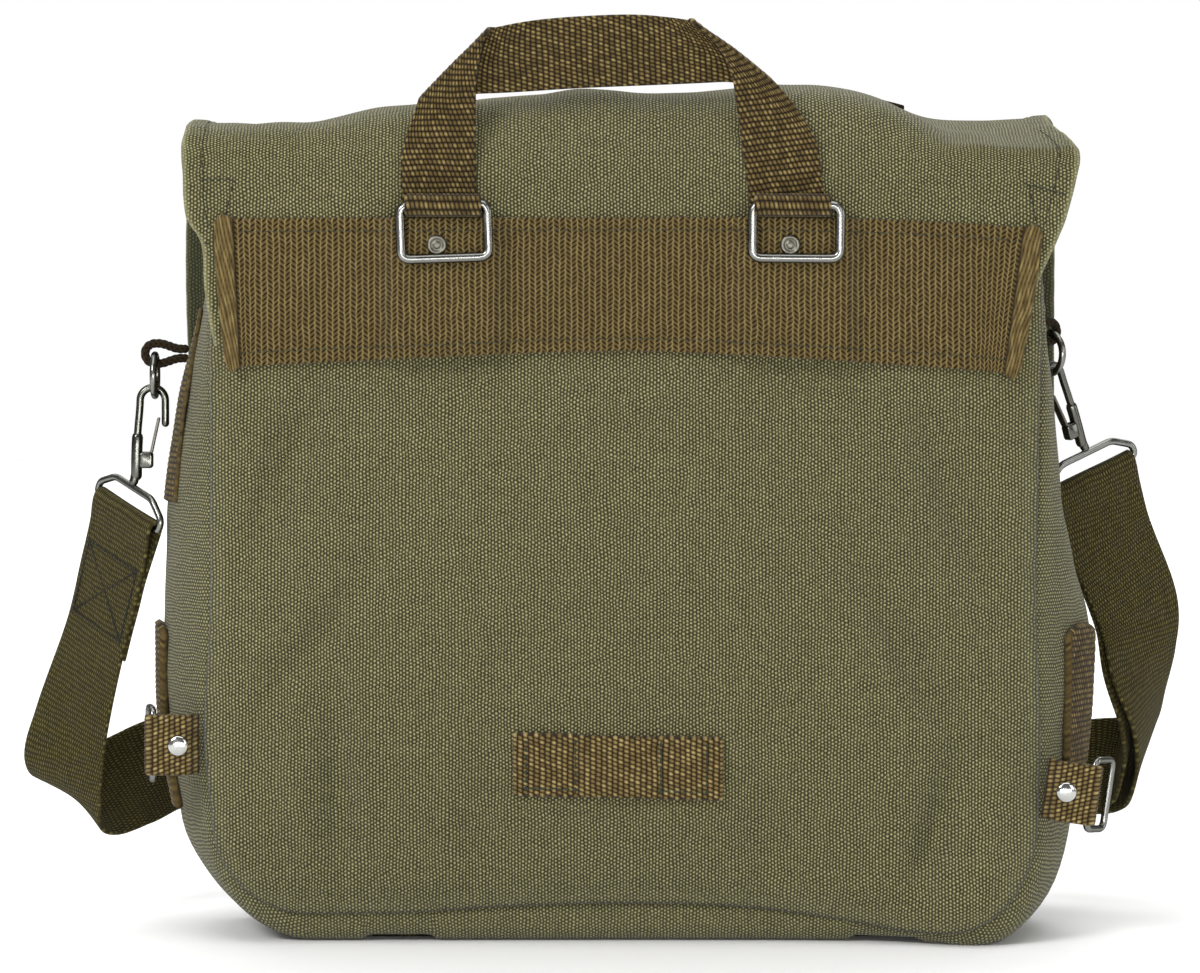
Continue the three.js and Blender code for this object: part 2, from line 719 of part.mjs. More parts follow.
function beltLoop() {
  const half = BELT_LOOP.length / 2;
  const freeShare = BELT_LOOP.free / BELT_LOOP.length;
  const at = (outer) => (i, j) => {
    const share = BELT_LOOP_COLUMNS[j];
    const x = BELT_LOOP.x + share * half;
    const z = BELT_LOOP.z - (share * BELT_LOOP.drop) / 2 + (i - 0.5) * BELT_LOOP.width;
    const free = Math.abs(share) < freeShare + 0.01;
    const lift = GAP + (free ? BELT_LOOP.lift : 0);
    const thick = free ? WEBBING + 0.2 * (1 - Math.abs(share)) : 2 * WEBBING;
    return new THREE.Vector3(x, backY(x, z) - lift - (outer ? thick : 0), z);
  };
  return mesh("belt_loop", shell(2, BELT_LOOP_COLUMNS.length, at(true), at(false)), "trim");
}

// Handle, its rings and tabs

function handle() {
  const geometry = bentStrip(HANDLE.width, HANDLE_LENGTH, WEBBING, HANDLE_BENDS);
  const made = mesh("handle", geometry, "trim");
  made.position.set(HANDLE.x, HANDLE.y, HANDLE.z);
  return made;
}

function rivet(name) {
  const { radius, height } = RIVET;
  const sphere = (radius ** 2 + height ** 2) / (2 * height);
  const profile = [new THREE.Vector2(0, 0)];
  const rings = 4;
  for (let k = 0; k <= rings; k++) {
    const r = radius * (1 - k / rings);
    profile.push(new THREE.Vector2(r, -(Math.sqrt(sphere ** 2 - r ** 2) - sphere + height) - 0.3));
  }
  profile.splice(1, 0, new THREE.Vector2(radius, 0));
  profile[profile.length - 1].x = 0;
  const lathe = new THREE.LatheGeometry(profile, 16);
  lathe.deleteAttribute("normal");
  lathe.deleteAttribute("uv");
  const merged = mergeVertices(lathe, 1e-4);
  const points = [];
  const position = merged.getAttribute("position");
  for (let i = 0; i < position.count; i++) {
    points.push(new THREE.Vector3().fromBufferAttribute(position, i));
  }
  const faces = [];
  const index = merged.index.array;
  for (let i = 0; i < index.length; i += 3) {
    const [a, b, c] = [index[i], index[i + 1], index[i + 2]];
    if (a !== b && b !== c && a !== c) faces.push(a, b, c);
  }
  return mesh(name, closed(points, faces), "steel");
}

function handleRing(ring) {
  const group = new THREE.Group();
  const half = RING_HALF_WIDTH;
  const corners = [
    [-half, 0],
    [half, 0],
    [half, -RING_HEIGHT],
    [-half, -RING_HEIGHT],
  ];
  const loop = mesh(`handle_ring_${ring.side}`, wireLoop(corners, RING_BEND, RING_WIRE), "steel");
  loop.position.set(ring.x, RING_Y, RING_Z);
  loop.rotation.y = radians(ring.tilt);
  const strip = bentStrip(TAB.width, TAB.length, WEBBING, TAB_BENDS);
  const tab = mesh(`ring_tab_${ring.side}`, strip, "trim");
  tab.position.set(ring.x, TAB.y, TAB.z);
  const head = rivet(`band_rivet_${ring.side}`);
  head.position.set(ring.rivet, BAND_STEP_Y - WEBBING - GAP, RIVET.bandZ);
  group.add(loop, tab, head);
  return group;
}

// Sides

// X of the gusset's middle line between two of its rows
function sideX(side, z) {
  const i = Math.max(1, SIDE_ROWS.findIndex((row) => row.z >= z));
  const [low, high] = [SIDE_ROWS[i - 1], SIDE_ROWS[i]];
  const share = (z - low.z) / (high.z - low.z);
  return mix(low[`${side}Side`], high[`${side}Side`], share);
}

function sideStrip(name, side, size) {
  const sign = side === "left" ? -1 : 1;
  const between = SIDE_ROWS.map((row) => row.z).filter((z) => z > size.bottom && z < size.top);
  const heights = [size.bottom, ...between, size.top];
  const at = (offset) => (i, j) => {
    const z = heights[i];
    const y = size.y + (j - 0.5) * size.width;
    return new THREE.Vector3(sideX(side, z) + sign * offset, y, z);
  };
  return mesh(name, shell(heights.length, 2, at(GAP + size.thick), at(GAP)), "trim");
}

function cordLoop(side) {
  const { spread, reach, start } = CORD;
  const points = [new THREE.Vector3(start, 0, spread), new THREE.Vector3(reach / 2, 0, spread)];
  for (let k = 0; k <= 4; k++) {
    const angle = Math.PI / 2 - (Math.PI * k) / 4;
    const x = reach + spread * Math.cos(angle);
    points.push(new THREE.Vector3(x, 0, spread * Math.sin(angle)));
  }
  points.push(new THREE.Vector3(reach / 2, 0, -spread), new THREE.Vector3(start, 0, -spread));
  return mesh(`cord_loop_${side}`, wirePath(points, CORD.radius, 18), "cord");
}

function snapHook(side) {
  const { x, z, radius } = HOOK_ARCH;
  const points = [new THREE.Vector3(x - radius, 0, HOOK_TIP_Z)];
  for (let k = 0; k <= 6; k++) {
    const angle = Math.PI - (Math.PI * k) / 6;
    points.push(new THREE.Vector3(x + radius * Math.cos(angle), 0, z + radius * Math.sin(angle)));
  }
  HOOK_SHANK.forEach((row) => points.push(new THREE.Vector3(row.x, 0, row.z)));
  const { left, right, top, bottom, width, round } = HOOK_BODY;
  const outlineShape = new THREE.Shape();
  outlineShape.moveTo(left + round, bottom);
  outlineShape.lineTo(right - round, bottom);
  outlineShape.lineTo(right, bottom + round);
  outlineShape.lineTo(right, top - round);
  outlineShape.lineTo(right - round, top);
  outlineShape.lineTo(left + 2 * round, top);
  outlineShape.lineTo(left, top - 2 * round);
  outlineShape.lineTo(left, bottom + round);
  const body = new THREE.ExtrudeGeometry(outlineShape, { depth: width, bevelEnabled: false });
  body.translate(0, 0, -width / 2).rotateX(Math.PI / 2);
  const geometry = joined([wirePath(points, HOOK_WIRE, 26), body]);
  return mesh(`snap_hook_${side}`, geometry, "steel");
}

function hookGate(side) {
  const run = new THREE.Vector2(GATE.topX - GATE.x, GATE.topZ - GATE.z);
  const geometry = new THREE.BoxGeometry(GATE.thick, GATE.width, run.length());
  const gate = mesh(`hook_gate_${side}`, geometry, "darkSteel");
  gate.position.set((GATE.x + GATE.topX) / 2, 0, (GATE.z + GATE.topZ) / 2);
  gate.rotation.y = Math.atan2(run.x, run.y);
  return gate;
}

// Cord loop, ring and hook of one side; returns the group and the seat of the strap's frame
function clip(clipRow) {
  const { side } = clipRow;
  const sign = side === "left" ? -1 : 1;
  const group = new THREE.Group();
  group.position.set(sideX(side, clipRow.z) + sign * LAYER, 0, clipRow.z);
  group.rotation.z = radians(clipRow.turn);
  const ringTop = -CORD.spread + CORD.radius + 0.3 + SIDE_RING.wire;
  const ringGeometry = new THREE.TorusGeometry(SIDE_RING.radius, SIDE_RING.wire, 8, 24);
  const ring = mesh(`side_ring_${side}`, ringGeometry, "steel");
  ring.position.set(SIDE_RING.x, 0, ringTop - SIDE_RING.radius);
  ring.rotation.y = Math.PI / 2;
  const hang = new THREE.Group();
  hang.position.set(SIDE_RING.x, 0, ringTop - 2 * SIDE_RING.radius);
  hang.rotation.y = radians(-clipRow.swing);
  hang.add(snapHook(side), hookGate(side));
  group.add(cordLoop(side), ring, hang);
  group.updateMatrixWorld(true);
  const seat = hang.localToWorld(new THREE.Vector3(FRAME_SEAT.x, 0, FRAME_SEAT.z));
  return { group, seat };
}

// Directions of a strap frame: along its bar, across the webbing and down it
function frameAxes(clipRow) {
  const bar = new THREE.Vector3(...clipRow.bar).normalize();
  const down = new THREE.Vector3(...clipRow.down);
  down.addScaledVector(bar, -down.dot(bar)).normalize();
  return { bar, down, across: new THREE.Vector3().crossVectors(bar, down) };
}

function strapFrame(clipRow, seat) {
  const { bar, down, across } = frameAxes(clipRow);
  const frame = mesh(`strap_frame_${clipRow.side}`, wireLoop(FRAME_CORNERS, 3, FRAME_WIRE), "steel");
  const basis = new THREE.Matrix4().makeBasis(bar, across, down.clone().negate());
  frame.quaternion.setFromRotationMatrix(basis);
  frame.position.copy(seat);
  return frame;
}

// Shoulder strap

// Centre and width direction of the webbing where it rolls over a frame's bar
function rollRoute(clipRow, seat, rows, sign) {
  const { bar, down, across } = frameAxes(clipRow);
  return rows.map((row) => ({
    centre: seat
      .clone()
      .addScaledVector(down, FRAME_HEIGHT + row.down)
      .addScaledVector(across, -row.across),
    width: bar.clone().multiplyScalar(sign),
  }));
}

// Smooth stations of a ribbon: centre, width direction and the normal of its face
function ribbonStations(route) {
  const path = new THREE.CatmullRomCurve3(route.map((row) => row.centre), false, "centripetal");
  const stations = [];
  const spans = route.length - 1;
  for (let i = 0; i < spans; i++) {
    const length = route[i].centre.distanceTo(route[i + 1].centre);
    const steps = Math.max(1, Math.ceil(length / RIBBON_STEP));
    for (let k = 0; k < steps + (i === spans - 1 ? 1 : 0); k++) {
      const t = k / steps;
      const place = (i + t) / spans;
      const run = path.getTangent(place);
      const width = route[i].width.clone().lerp(route[i + 1].width, t);
      width.addScaledVector(run, -width.dot(run)).normalize();
      const normal = new THREE.Vector3().crossVectors(run, width);
      stations.push({ centre: path.getPoint(place), width, normal });
    }
  }
  return stations;
}

function ribbon(stations, offsets) {
  const at = (side) => (i, j) => {
    const { centre, width, normal } = stations[i];
    return centre
      .clone()
      .addScaledVector(width, (j - 0.5) * STRAP_WIDTH)
      .addScaledVector(normal, offsets(i) + (side * STRAP) / 2);
  };
  return shell(stations.length, 2, at(1), at(-1));
}

function shoulderStrap(left, right) {
  const [leftRow, rightRow] = CLIPS;
  const foldedEnd = { down: FOLDED_END, across: -PAIR_OFFSET };
  const sewn = [foldedEnd, { down: 30, across: -PAIR_OFFSET }, ...ROLL_ROWS];
  const start = rollRoute(leftRow, left, [...sewn, { down: 58, across: PAIR_OFFSET }], 1);
  const end = rollRoute(rightRow, right, [...ROLL_ROWS].reverse(), -1);
  const free = STRAP_ROUTE.map((row) => ({
    centre: new THREE.Vector3(row.x, row.y, row.z),
    width: new THREE.Vector3(row.wx, row.wy, row.wz).normalize(),
  }));
  const group = new THREE.Group();
  const main = ribbonStations([...start, ...free, ...end]);
  group.add(mesh("shoulder_strap", ribbon(main, () => 0), "strap"));

  // The layer that comes back down from the right clip, inside the first, to the slider
  const sliderAt = STRAP_ROUTE.findIndex((row) => row.x >= SLIDER.x);
  const upper = [RETURN_TOP + 18, RETURN_TOP].map((down) => ({ down, across: PAIR_OFFSET }));
  const back = ribbonStations([...free.slice(sliderAt), ...rollRoute(rightRow, right, upper, -1)]);
  const loose = (i) => RETURN_LOOSE * Math.sin((Math.PI * i) / (back.length - 1)) ** 2;
  const inside = (i) => -STRAP - 0.3 - loose(i);
  group.add(mesh("strap_return", ribbon(back, inside), "strap"));
  return group;
}

// Three-bar slider lying on the strap where the returning layer ends
function strapSlider() {
  const { halfHeight, halfLength, wire } = SLIDER;
  const row = STRAP_ROUTE.find((place) => place.x >= SLIDER.x);
  const corners = [
    [-halfLength, -halfHeight],
    [halfLength, -halfHeight],
    [halfLength, halfHeight],
    [-halfLength, halfHeight],
  ];
  const bar = new THREE.CylinderGeometry(wire, wire, 2 * halfHeight, 8).rotateX(Math.PI / 2);
  const slider = mesh("strap_slider", joined([wireLoop(corners, 4, wire), bar]), "steel");
  slider.position.set(row.x, row.y - 1.5 * STRAP - 1.4 - GAP - wire, halfHeight + wire + 0.2);
  return slider;
}

// Riveted tab with its rectangular ring
function sideTab(tab) {
  const group = new THREE.Group();
  group.position.set(tab.x, SIDE_TAB.y, tab.z);
  group.rotation.y = radians(tab.turn);
  const bends = [{ at: SIDE_TAB.fold, skew: 0, radius: SIDE_TAB.radius, turn: 190 }];
  const strip = bentStrip(SIDE_TAB.width, SIDE_TAB.length, WEBBING, bends);
  const { halfBar, reach, bend, wire } = TAB_RING;
  const corners = [
    [-halfBar, 0],
    [halfBar, 0],
    [halfBar, reach],
    [-halfBar, reach],
  ];
  const ring = mesh(`side_tab_ring_${tab.side}`, wireLoop(corners, bend, wire), "steel");
  ring.position.set(0, SIDE_TAB.radius, SIDE_TAB.fold);
  ring.rotation.x = radians(tab.ringTurn);
  const head = rivet(`side_rivet_${tab.side}`);
  head.position.set(0, -WEBBING - GAP, SIDE_TAB.rivetAt);
  group.add(mesh(`side_tab_${tab.side}`, strip, "trim"), ring, head);
  return group;
}

// Closures

function closureEdges(strap) {
  return [strap.x - CLOSURE_WIDTH / 2, strap.x + CLOSURE_WIDTH / 2];
}

function hemY(x) {
  const hem = FLAP_ROWS[FLAP_ROWS.length - 1];
  return flapFrontY(x, hem.z);
}

// Strap on the flap's front, then threaded under and over the buckle's bars
function closureStrap(strap) {
  const xs = closureEdges(strap);
  const lines = xs.map((x) => {
    const onFlap = beside(flapLine(() => x), CLOSURE_EASE).slice(FLAP_TOP_FRONT_ROW);
    const tail = CLOSURE_TAIL.map((row) => new THREE.Vector2(hemY(strap.x) + row.out, row.z));
    return [...onFlap, ...tail];
  });
  return mesh(`closure_strap_${strap.side}`, strapBetween(xs, lines, GAP, LAYER), "trim");
}

function closureBuckle(strap) {
  const { halfWidth, halfHeight, wire, bend } = BUCKLE;
  const corners = [
    [-halfWidth, -halfHeight],
    [halfWidth, -halfHeight],
    [halfWidth, halfHeight],
    [-halfWidth, halfHeight],
  ];
  const bar = new THREE.CylinderGeometry(wire, wire, 2 * halfWidth, 8).rotateZ(Math.PI / 2);
  const geometry = joined([wireLoop(corners, bend, wire), bar]);
  const buckle = mesh(`closure_buckle_${strap.side}`, geometry, "steel");
  buckle.position.set(strap.x, hemY(strap.x) + BUCKLE.out, BUCKLE.z);
  return buckle;
}

// Strap under the bottom and up the front, its end rolled round the buckle's lower bar
function bottomStrap(strap) {
  const xs = closureEdges(strap);
  const barY = hemY(strap.x) + BUCKLE.out;
  const barZ = BUCKLE.z - BUCKLE.halfHeight;
  const roll = BUCKLE.wire + GAP + WEBBING / 2;
  const middle = GAP + WEBBING / 2;
  const lines = xs.map((x) => {
    const seam = bottomSeam(x);
    const under = GUSSET_ACROSS.filter((t) => t > BOTTOM_STRAP_START && t < 1).map((t) => {
      const z = seam - (seam - LAYER) * roundness(t);
      return new THREE.Vector2(gussetDepth(t), z);
    });
    const front = BOTTOM_STRAP_FRONT.map((z) => new THREE.Vector2(frontY(x, z), z));
    const base = [...under, new THREE.Vector2(frontY(x, seam), seam), ...front];
    const line = beside(base, -middle);
    for (const angle of [170, 130, 90, 50, 10, -25]) {
      const cos = Math.cos(radians(angle));
      const sin = Math.sin(radians(angle));
      line.push(new THREE.Vector2(barY + roll * cos, barZ + roll * sin));
    }
    for (const row of BOTTOM_STRAP_RETURN) {
      const lying = frontY(x, row.z) + GAP + WEBBING + middle;
      line.push(new THREE.Vector2(mix(lying, barY + roll, row.share), row.z));
    }
    return line;
  });
  const geometry = strapBetween(xs, lines, WEBBING / 2, -WEBBING / 2);
  return mesh(`bottom_strap_${strap.side}`, geometry, "trim");
}

// Assembly
const bag = new THREE.Group();
bag.add(panel("back_panel", backY, 1), panel("front_panel", frontY, -1), gusset(), flap());
bag.add(backBand(), handle(), beltLoop());
HANDLE_RINGS.forEach((ring) => bag.add(handleRing(ring)));
const seats = CLIPS.map((clipRow) => {
  const { side } = clipRow;
  bag.add(sideStrip(`side_webbing_${side}`, side, SIDE_WEBBING));
  bag.add(sideStrip(`side_tongue_${side}`, side, SIDE_TONGUE));
  const { group, seat } = clip(clipRow);
  bag.add(group, strapFrame(clipRow, seat));
  return seat;
});
bag.add(shoulderStrap(...seats), strapSlider());
SIDE_TABS.forEach((tab) => bag.add(sideTab(tab)));
CLOSURES.forEach((strap) => bag.add(closureStrap(strap), closureBuckle(strap), bottomStrap(strap)));

export default bag;
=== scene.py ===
"""Canvas field bag, standing, seen from its back: cloth, webbing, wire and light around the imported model."""

import math

import bpy
import numpy as np
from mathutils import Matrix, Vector


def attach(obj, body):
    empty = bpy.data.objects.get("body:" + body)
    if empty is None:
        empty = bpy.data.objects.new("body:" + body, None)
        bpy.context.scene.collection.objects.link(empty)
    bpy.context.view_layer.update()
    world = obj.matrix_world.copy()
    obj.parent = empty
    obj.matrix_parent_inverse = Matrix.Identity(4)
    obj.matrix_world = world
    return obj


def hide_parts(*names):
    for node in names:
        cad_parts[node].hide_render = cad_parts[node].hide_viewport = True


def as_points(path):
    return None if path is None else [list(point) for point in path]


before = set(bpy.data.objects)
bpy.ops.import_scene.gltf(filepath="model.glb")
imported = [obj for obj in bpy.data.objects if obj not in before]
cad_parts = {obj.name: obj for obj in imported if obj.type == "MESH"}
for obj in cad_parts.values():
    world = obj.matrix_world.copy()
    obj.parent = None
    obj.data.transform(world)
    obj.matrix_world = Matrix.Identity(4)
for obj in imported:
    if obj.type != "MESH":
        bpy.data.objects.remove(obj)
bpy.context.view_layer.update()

MM = 0.001

# Cloth thickness and the clearance between layers, in millimetres as all sizes below
CANVAS = 1.6
WEBBING = 1.6
STRAP = 1.8
GAP = 0.35
LAYER = GAP + WEBBING
FLAP_OUT = GAP + CANVAS
HALF = 50.0

# height: X of the left seam, left gusset, right seam, right gusset
SIDE_ROWS = [
    (52, -171, -187, 171, 189),
    (85, -174, -193, 172, 193.5),
    (135, -171.5, -194, 170, 194.5),
    (165, -171, -193, 170, 184),
    (185, -171, -191.5, 170.5, 174),
    (222, -171, -186, 171, 168),
    (260, -171, -177, 172, 165),
    (300, -170, -170, 171, 164),
    (316, -169, -168, 170, 164),
]
# X: height of the seam along the bottom
BOTTOM_ROWS = [(-131, 12), (-85, 12.7), (-52, 15), (0, 16.4), (51, 14.8), (96, 8.6), (115, 5.5), (131, 5)]
SIDE_LOW, SIDE_TOP = SIDE_ROWS[0][0], SIDE_ROWS[-1][0]
BOTTOM_END = BOTTOM_ROWS[-1][0]
# side: direction along X, column of its seam, column of its gusset
SIDES = {"left": (-1, 1, 2), "right": (1, 3, 4)}
CORNER_BULGE = {"left": 11, "right": 17}
GUSSET_HALF = 44.2
# height: extra fullness of the right side towards the back
BACK_HUMP = [(52, 0), (130, 0), (165, 6), (190, 9.5), (222, 9), (260, 5), (300, 0), (316, 0)]
# height above the seam: how far a panel swells
DOME_ROWS = [(0, 0), (40, 6), (110, 9), (180, 7), (222, 4), (320, 4)]
# soft dents of the back: X, Z, lean in degrees, half length, half width, depth
BACK_DENTS = [
    (-118, 66, -4, 46, 6.5, 7.0),
    (-136, 62, -6, 40, 7, -4.4),
    (128, 44, 16, 36, 7, 9.0),
    (148, 40, 14, 30, 8, -4.0),
    (-140, 195, 24, 50, 10, 9.0),
    (140, 178, -20, 54, 10, 9.4),
    (-128, 125, 38, 40, 6.5, 6.6),
    (118, 118, -30, 46, 6.5, 6.6),
    (-60, 40, 4, 26, 9, 4.2),
    (60, 38, -10, 24, 9, 4.2),
    (20, 215, 80, 70, 9, 2.8),
]
# fullness of the lower right corner towards the viewer: X, Z, half width, half height, depth
CORNER_PUSH = (152, 4, 36, 34, 14)

# flap sections: place ("back" and "front" lie on the body), Y, Z, left, right, share of the crown
FLAP_ROWS = [
    ("back", 0, 248, -168, 159, 0),
    ("back", 0, 270, -171.6, 167, 0),
    ("back", 0, 290, -173, 176, 0),
    ("back", 0, 300, -179, 180, 0),
    ("back", 0, 321, -180.5, 185, 0),
    ("top", -51.5, 331, -180.5, 184.8, 0.2),
    ("top", -46, 338, -179.5, 184, 0.6),
    ("top", -36, 341.5, -179.5, 182, 0.9),
    ("top", -15, 342.5, -180, 177, 1.05),
    ("top", 12, 342.5, -181, 178, 1.05),
    ("top", 38, 341, -183, 182, 0.85),
    ("top", 51, 336, -184, 184, 0.45),
    ("top", 58.5, 326, -186, 185, 0.1),
    ("front", 0, 308, -187.5, 185, 0),
    ("front", 0, 265, -188, 185, 0),
    ("front", 0, 215, -186, 185, 0),
    ("front", 0, 165, -184, 184, 0),
    ("front", 0, 108, -183, 183, 0),
]
FLAP_FRONT_OUT = FLAP_OUT + 1.2
# stitch line and width of the flap's hem
HEM_SEAM, HEM_WIDTH = 7.6, 9.5
FLAP_TOP_FRONT_ROW = 10
# X: height of the crown over the flap's sections
TOP_LINE = [
    (-185, -2.5), (-133, -3.5), (-95, 4.5), (-60, 6.2), (-36, 7.6), (-15, 10.6), (4, 9.2), (40, 9.8),
    (72, 11.6), (96, 9.5), (128, 0), (150, -1), (185, 0.4),
]

# band edges: X, top, bottom
BAND_EDGES = [
    (-169.3, 299.5, 239),
    (-74, 299.8, 243.5),
    (0, 299.8, 246),
    (70, 299.8, 243),
    (130, 298, 239),
    (172, 295, 236),
]
BAND_LEFT, BAND_RIGHT = BAND_EDGES[0][0], BAND_EDGES[-1][0]
BAND_WIDTH = 57.0
BAND_SLANT = 9.6
LEFT_SLANT = 5.0
BAND_SEAM = 5.0
# the band steps out over the roots of the ring tabs
BAND_STEP_Y = -61.8
BAND_STEP_HALF = 18.5
BAND_STEP_FOOT = 29.0
# handle rings: side, X, tilt, X of the rivet, X of the tab
HANDLE_RINGS = [("left", -74.0, -2.0, -76.7, -74.0), ("right", 69.7, 0.5, 67.2, 68.1)]
HANDLE_RING_Y, HANDLE_RING_Z = -65.7, 305.2
# wire rings: half width, both ends, bend, radius and sides of the wire
HANDLE_RING = (17.8, 0, -21.6, 3.9, 2.0, 20)
TAB_RING = (14.5, 0, 14.5, 3.5, 1.5, 18)
RIVET_Z = 289

# handle bends: place along the strip, skew, radius, turn
HANDLE_BENDS = [(79, 46.3, 2.2, 180), (213, -47.5, 2.2, 180)]
HANDLE_PULLS = (6.0, -12.5)
SPAN_LEAN = 0.055
HANDLE_WIDTH, HANDLE_LENGTH = 30, 298
HANDLE_ROOT = (-76.3, -56.05, 280)
RING_TAB_LENGTH, RING_TAB_Y, RING_TAB_Z = 84.7, -59.85, 255
TAB_BENDS = [(44.7, 0, 2.6, -90), (51.98, 0, 2.9, 225), (68.47, 0, 1.5, 45)]
SIDE_TAB_BENDS = [(23, 0, 1.9, 190)]
SIDE_TAB_ROOT = 4.5
TAB_Y = -50.9
SIDE_TAB_WIDTH, SIDE_TAB_LENGTH = 24, 38
# side tabs: side, X, Z, turn, turn of the ring
SIDE_TABS = [("left", -171.5, 83, -90, -78), ("right", 169.5, 65.5, 98, -55)]

# clips: side, height, turn about Z, swing, bar direction, direction down the strap
CLIPS = [
    ("left", 243, 180, 0, (0.64, -0.69, -0.335), (-0.255, 0.22, -0.942)),
    ("right", 252, 35, 18, (0.85, 0.37, 0.383), (0.28, 0.3, -0.91)),
]
STRAP_WIDTH = 40
# route of the shoulder strap: centre and width direction, left clip to right clip
STRAP_ROUTE = [
    (-236.4, 23.7, 83, 0.72, -0.5, -0.45),
    (-240.5, 29.5, 63, 0.8, -0.3, -0.52),
    (-238, 38, 52, 0.8, -0.3, -0.52),
    (-229, 48, 50, 0.6, -0.3, -0.74),
    (-214, 61, 56, 0.35, -0.2, -0.92),
    (-196, 77, 62, 0.1, -0.1, -1),
    (-165, 97, 60, 0, 0, -1),
    (-115, 108, 44, 0, 0, -1),
    (-60, 113, 28, 0, 0, -1),
    (0, 115, 20.6, 0, 0, -1),
    (60, 114, 22, 0, 0, -1),
    (115, 110, 34, 0, 0, -1),
    (165, 102, 50, 0, 0, -1),
    (190, 95, 56, 0, -0.05, -1),
    (208, 87, 58, -0.08, -0.2, -0.98),
    (221, 79, 60, -0.2, -0.5, -0.84),
    (228, 70, 69, -0.28, -0.8, -0.52),
    (228.5, 62, 87, -0.42, -0.78, -0.46),
    (225, 54, 110, -0.7, -0.5, -0.5),
    (222, 47, 131, -0.8, -0.35, -0.48),
]
CORD_RADIUS, CORD_SPREAD, CORD_REACH = 1.9, 4.25, 14.35
SIDE_RING_X, SIDE_RING_RADIUS, SIDE_RING_WIRE = 14.5, 8.6, 1.5
FRAME_SEAT = (9.2, 0, -38.8)
FRAME_WIRE = 1.5
FRAME_HEIGHT = 11
ROLL = FRAME_WIRE + GAP + STRAP / 2
PAIR = STRAP / 2 + 0.15
SEWN_LENGTH = 52
# webbing over a frame's bar: distance down, distance across with the front layer positive
ROLL_ROWS = [
    (12, -1.4), (4, -2.6), (0, -ROLL), (-0.7 * ROLL, -0.7 * ROLL), (-ROLL, 0),
    (-0.7 * ROLL, 0.7 * ROLL), (0, ROLL), (4, 2.6), (12, 1.4), (30, PAIR),
]

# strips on the gusset: width, low end, high end, thickness, seed, rounding of the high end
SIDE_WEBBING = (25, 182, 262, WEBBING, 91, 0.0)
SIDE_TONGUE = (24, 53, 130, 2 * WEBBING + 0.2, 92, 5.0)
# side: middle Y of the webbing, middle Y of the tongue
SIDE_STRIP_Y = [("left", -9, -3), ("right", -3, -19)]

# closure straps: side, middle X
CLOSURES = [("left", -93.5), ("right", 108)]
CLOSURE_WIDTH = 23
CLOSURE_CURL = {"left": 0.5, "right": 2.6}
# free end: height, distance out from the hem
CLOSURE_TAIL = [(99, -0.5), (92, -0.5), (80, 4.8), (68, 7), (57, 6.6), (46, 5.6)]
# bottom straps: half depth and shares of it under the bag, heights up the front, turn over the buckle's bar,
# and the end: height, share of the way out to the bar
UNDER_HALF = 48.05
UNDER_SHARES = (0.225, 0.5, 0.775, 0.87, 0.95)
RISE_HEIGHTS = (24, 40, 56)
BAR_TURN = (170, 130, 90, 50, 10, -25)
BOTTOM_TAIL = [(61, 0.5), (56, 0.15), (46, 0)]
BUCKLE_Z = 80
BUCKLE_OUT = 3.3
BUCKLE_WIDE, BUCKLE_TALL, BUCKLE_WIRE = 15, 12, 1.5

# belt loop: half length, half width, middle X and Z, stitched places along it
LOOP_HALF, LOOP_HALF_WIDE = 42.2, 12.25
LOOP_X, LOOP_Z = -2.8, 75
LOOP_SEAMS = (-37.8, -17.5, 17.5, 36.5)
# height of webbing that lies on the cloth's own face; the beads rise above it and the gaps fall below
BEAD_MIDDLE = 0.6


# Numbers and surfaces

def through(keys, values, place):
    """Smooth values at places between keyed rows."""
    ends = np.r_[0, np.arange(len(keys)), len(keys) - 1]
    slopes = ((values[ends[2:]] - values[ends[:-2]]).T / (keys[ends[2:]] - keys[ends[:-2]])).T
    place = np.clip(np.asarray(place, float), keys[0], keys[-1])
    i = np.clip(np.searchsorted(keys, place) - 1, 0, len(keys) - 2)
    span = keys[i + 1] - keys[i]
    t = (place - keys[i]) / span
    if values.ndim > 1:
        span, t = span[:, None], t[:, None]
    rise = t * t * (3 - 2 * t)
    bend = t * (1 - t) ** 2 * slopes[i] + t * t * (t - 1) * slopes[i + 1]
    return values[i] + (values[i + 1] - values[i]) * rise + bend * span


def along(rows, column, place):
    """Smooth value of a table's column at a place; the first column is the key."""
    table = np.array([[row[0], row[column]] for row in rows], float)
    return through(table[:, 0], table[:, 1], place)


def stack(*parts):
    """Points from coordinates that fit each other's shape."""
    return np.stack(np.broadcast_arrays(*parts), -1)


def lengths(points):
    """Distance along a line at each of its points."""
    return np.concatenate([[0], np.cumsum(np.linalg.norm(np.diff(points, axis=0), axis=1))])


def hill(t, at, wide):
    return np.exp(-(((t - at) / wide) ** 2))


def smooth(t):
    t = np.clip(t, 0, 1)
    return t * t * (3 - 2 * t)


def mix(a, b, t):
    return a + (b - a) * t


def unit(v):
    v = np.asarray(v, float)
    return v / np.maximum(np.linalg.norm(v, axis=-1, keepdims=True), 1e-9)


def ripple(points, size, seed, waves=9):
    """Soft irregular waves over points, about -1 to 1, the same on every run."""
    rng = np.random.default_rng(seed)
    total = np.zeros(points.shape[:-1])
    for _ in range(waves):
        way = unit(rng.normal(size=points.shape[-1])) * 2 * math.pi / (size * rng.uniform(0.7, 1.6))
        total += np.sin(points @ way + rng.uniform(0, 2 * math.pi))
    return total / math.sqrt(waves) * 0.8


def spin(axis, degrees):
    """Matrix of a turn about an axis."""
    angle = math.radians(degrees)
    c, s = math.cos(angle), math.sin(angle)
    return np.array({
        "x": [[1, 0, 0], [0, c, -s], [0, s, c]],
        "y": [[c, 0, s], [0, 1, 0], [-s, 0, c]],
        "z": [[c, -s, 0], [s, c, 0], [0, 0, 1]],
    }[axis])


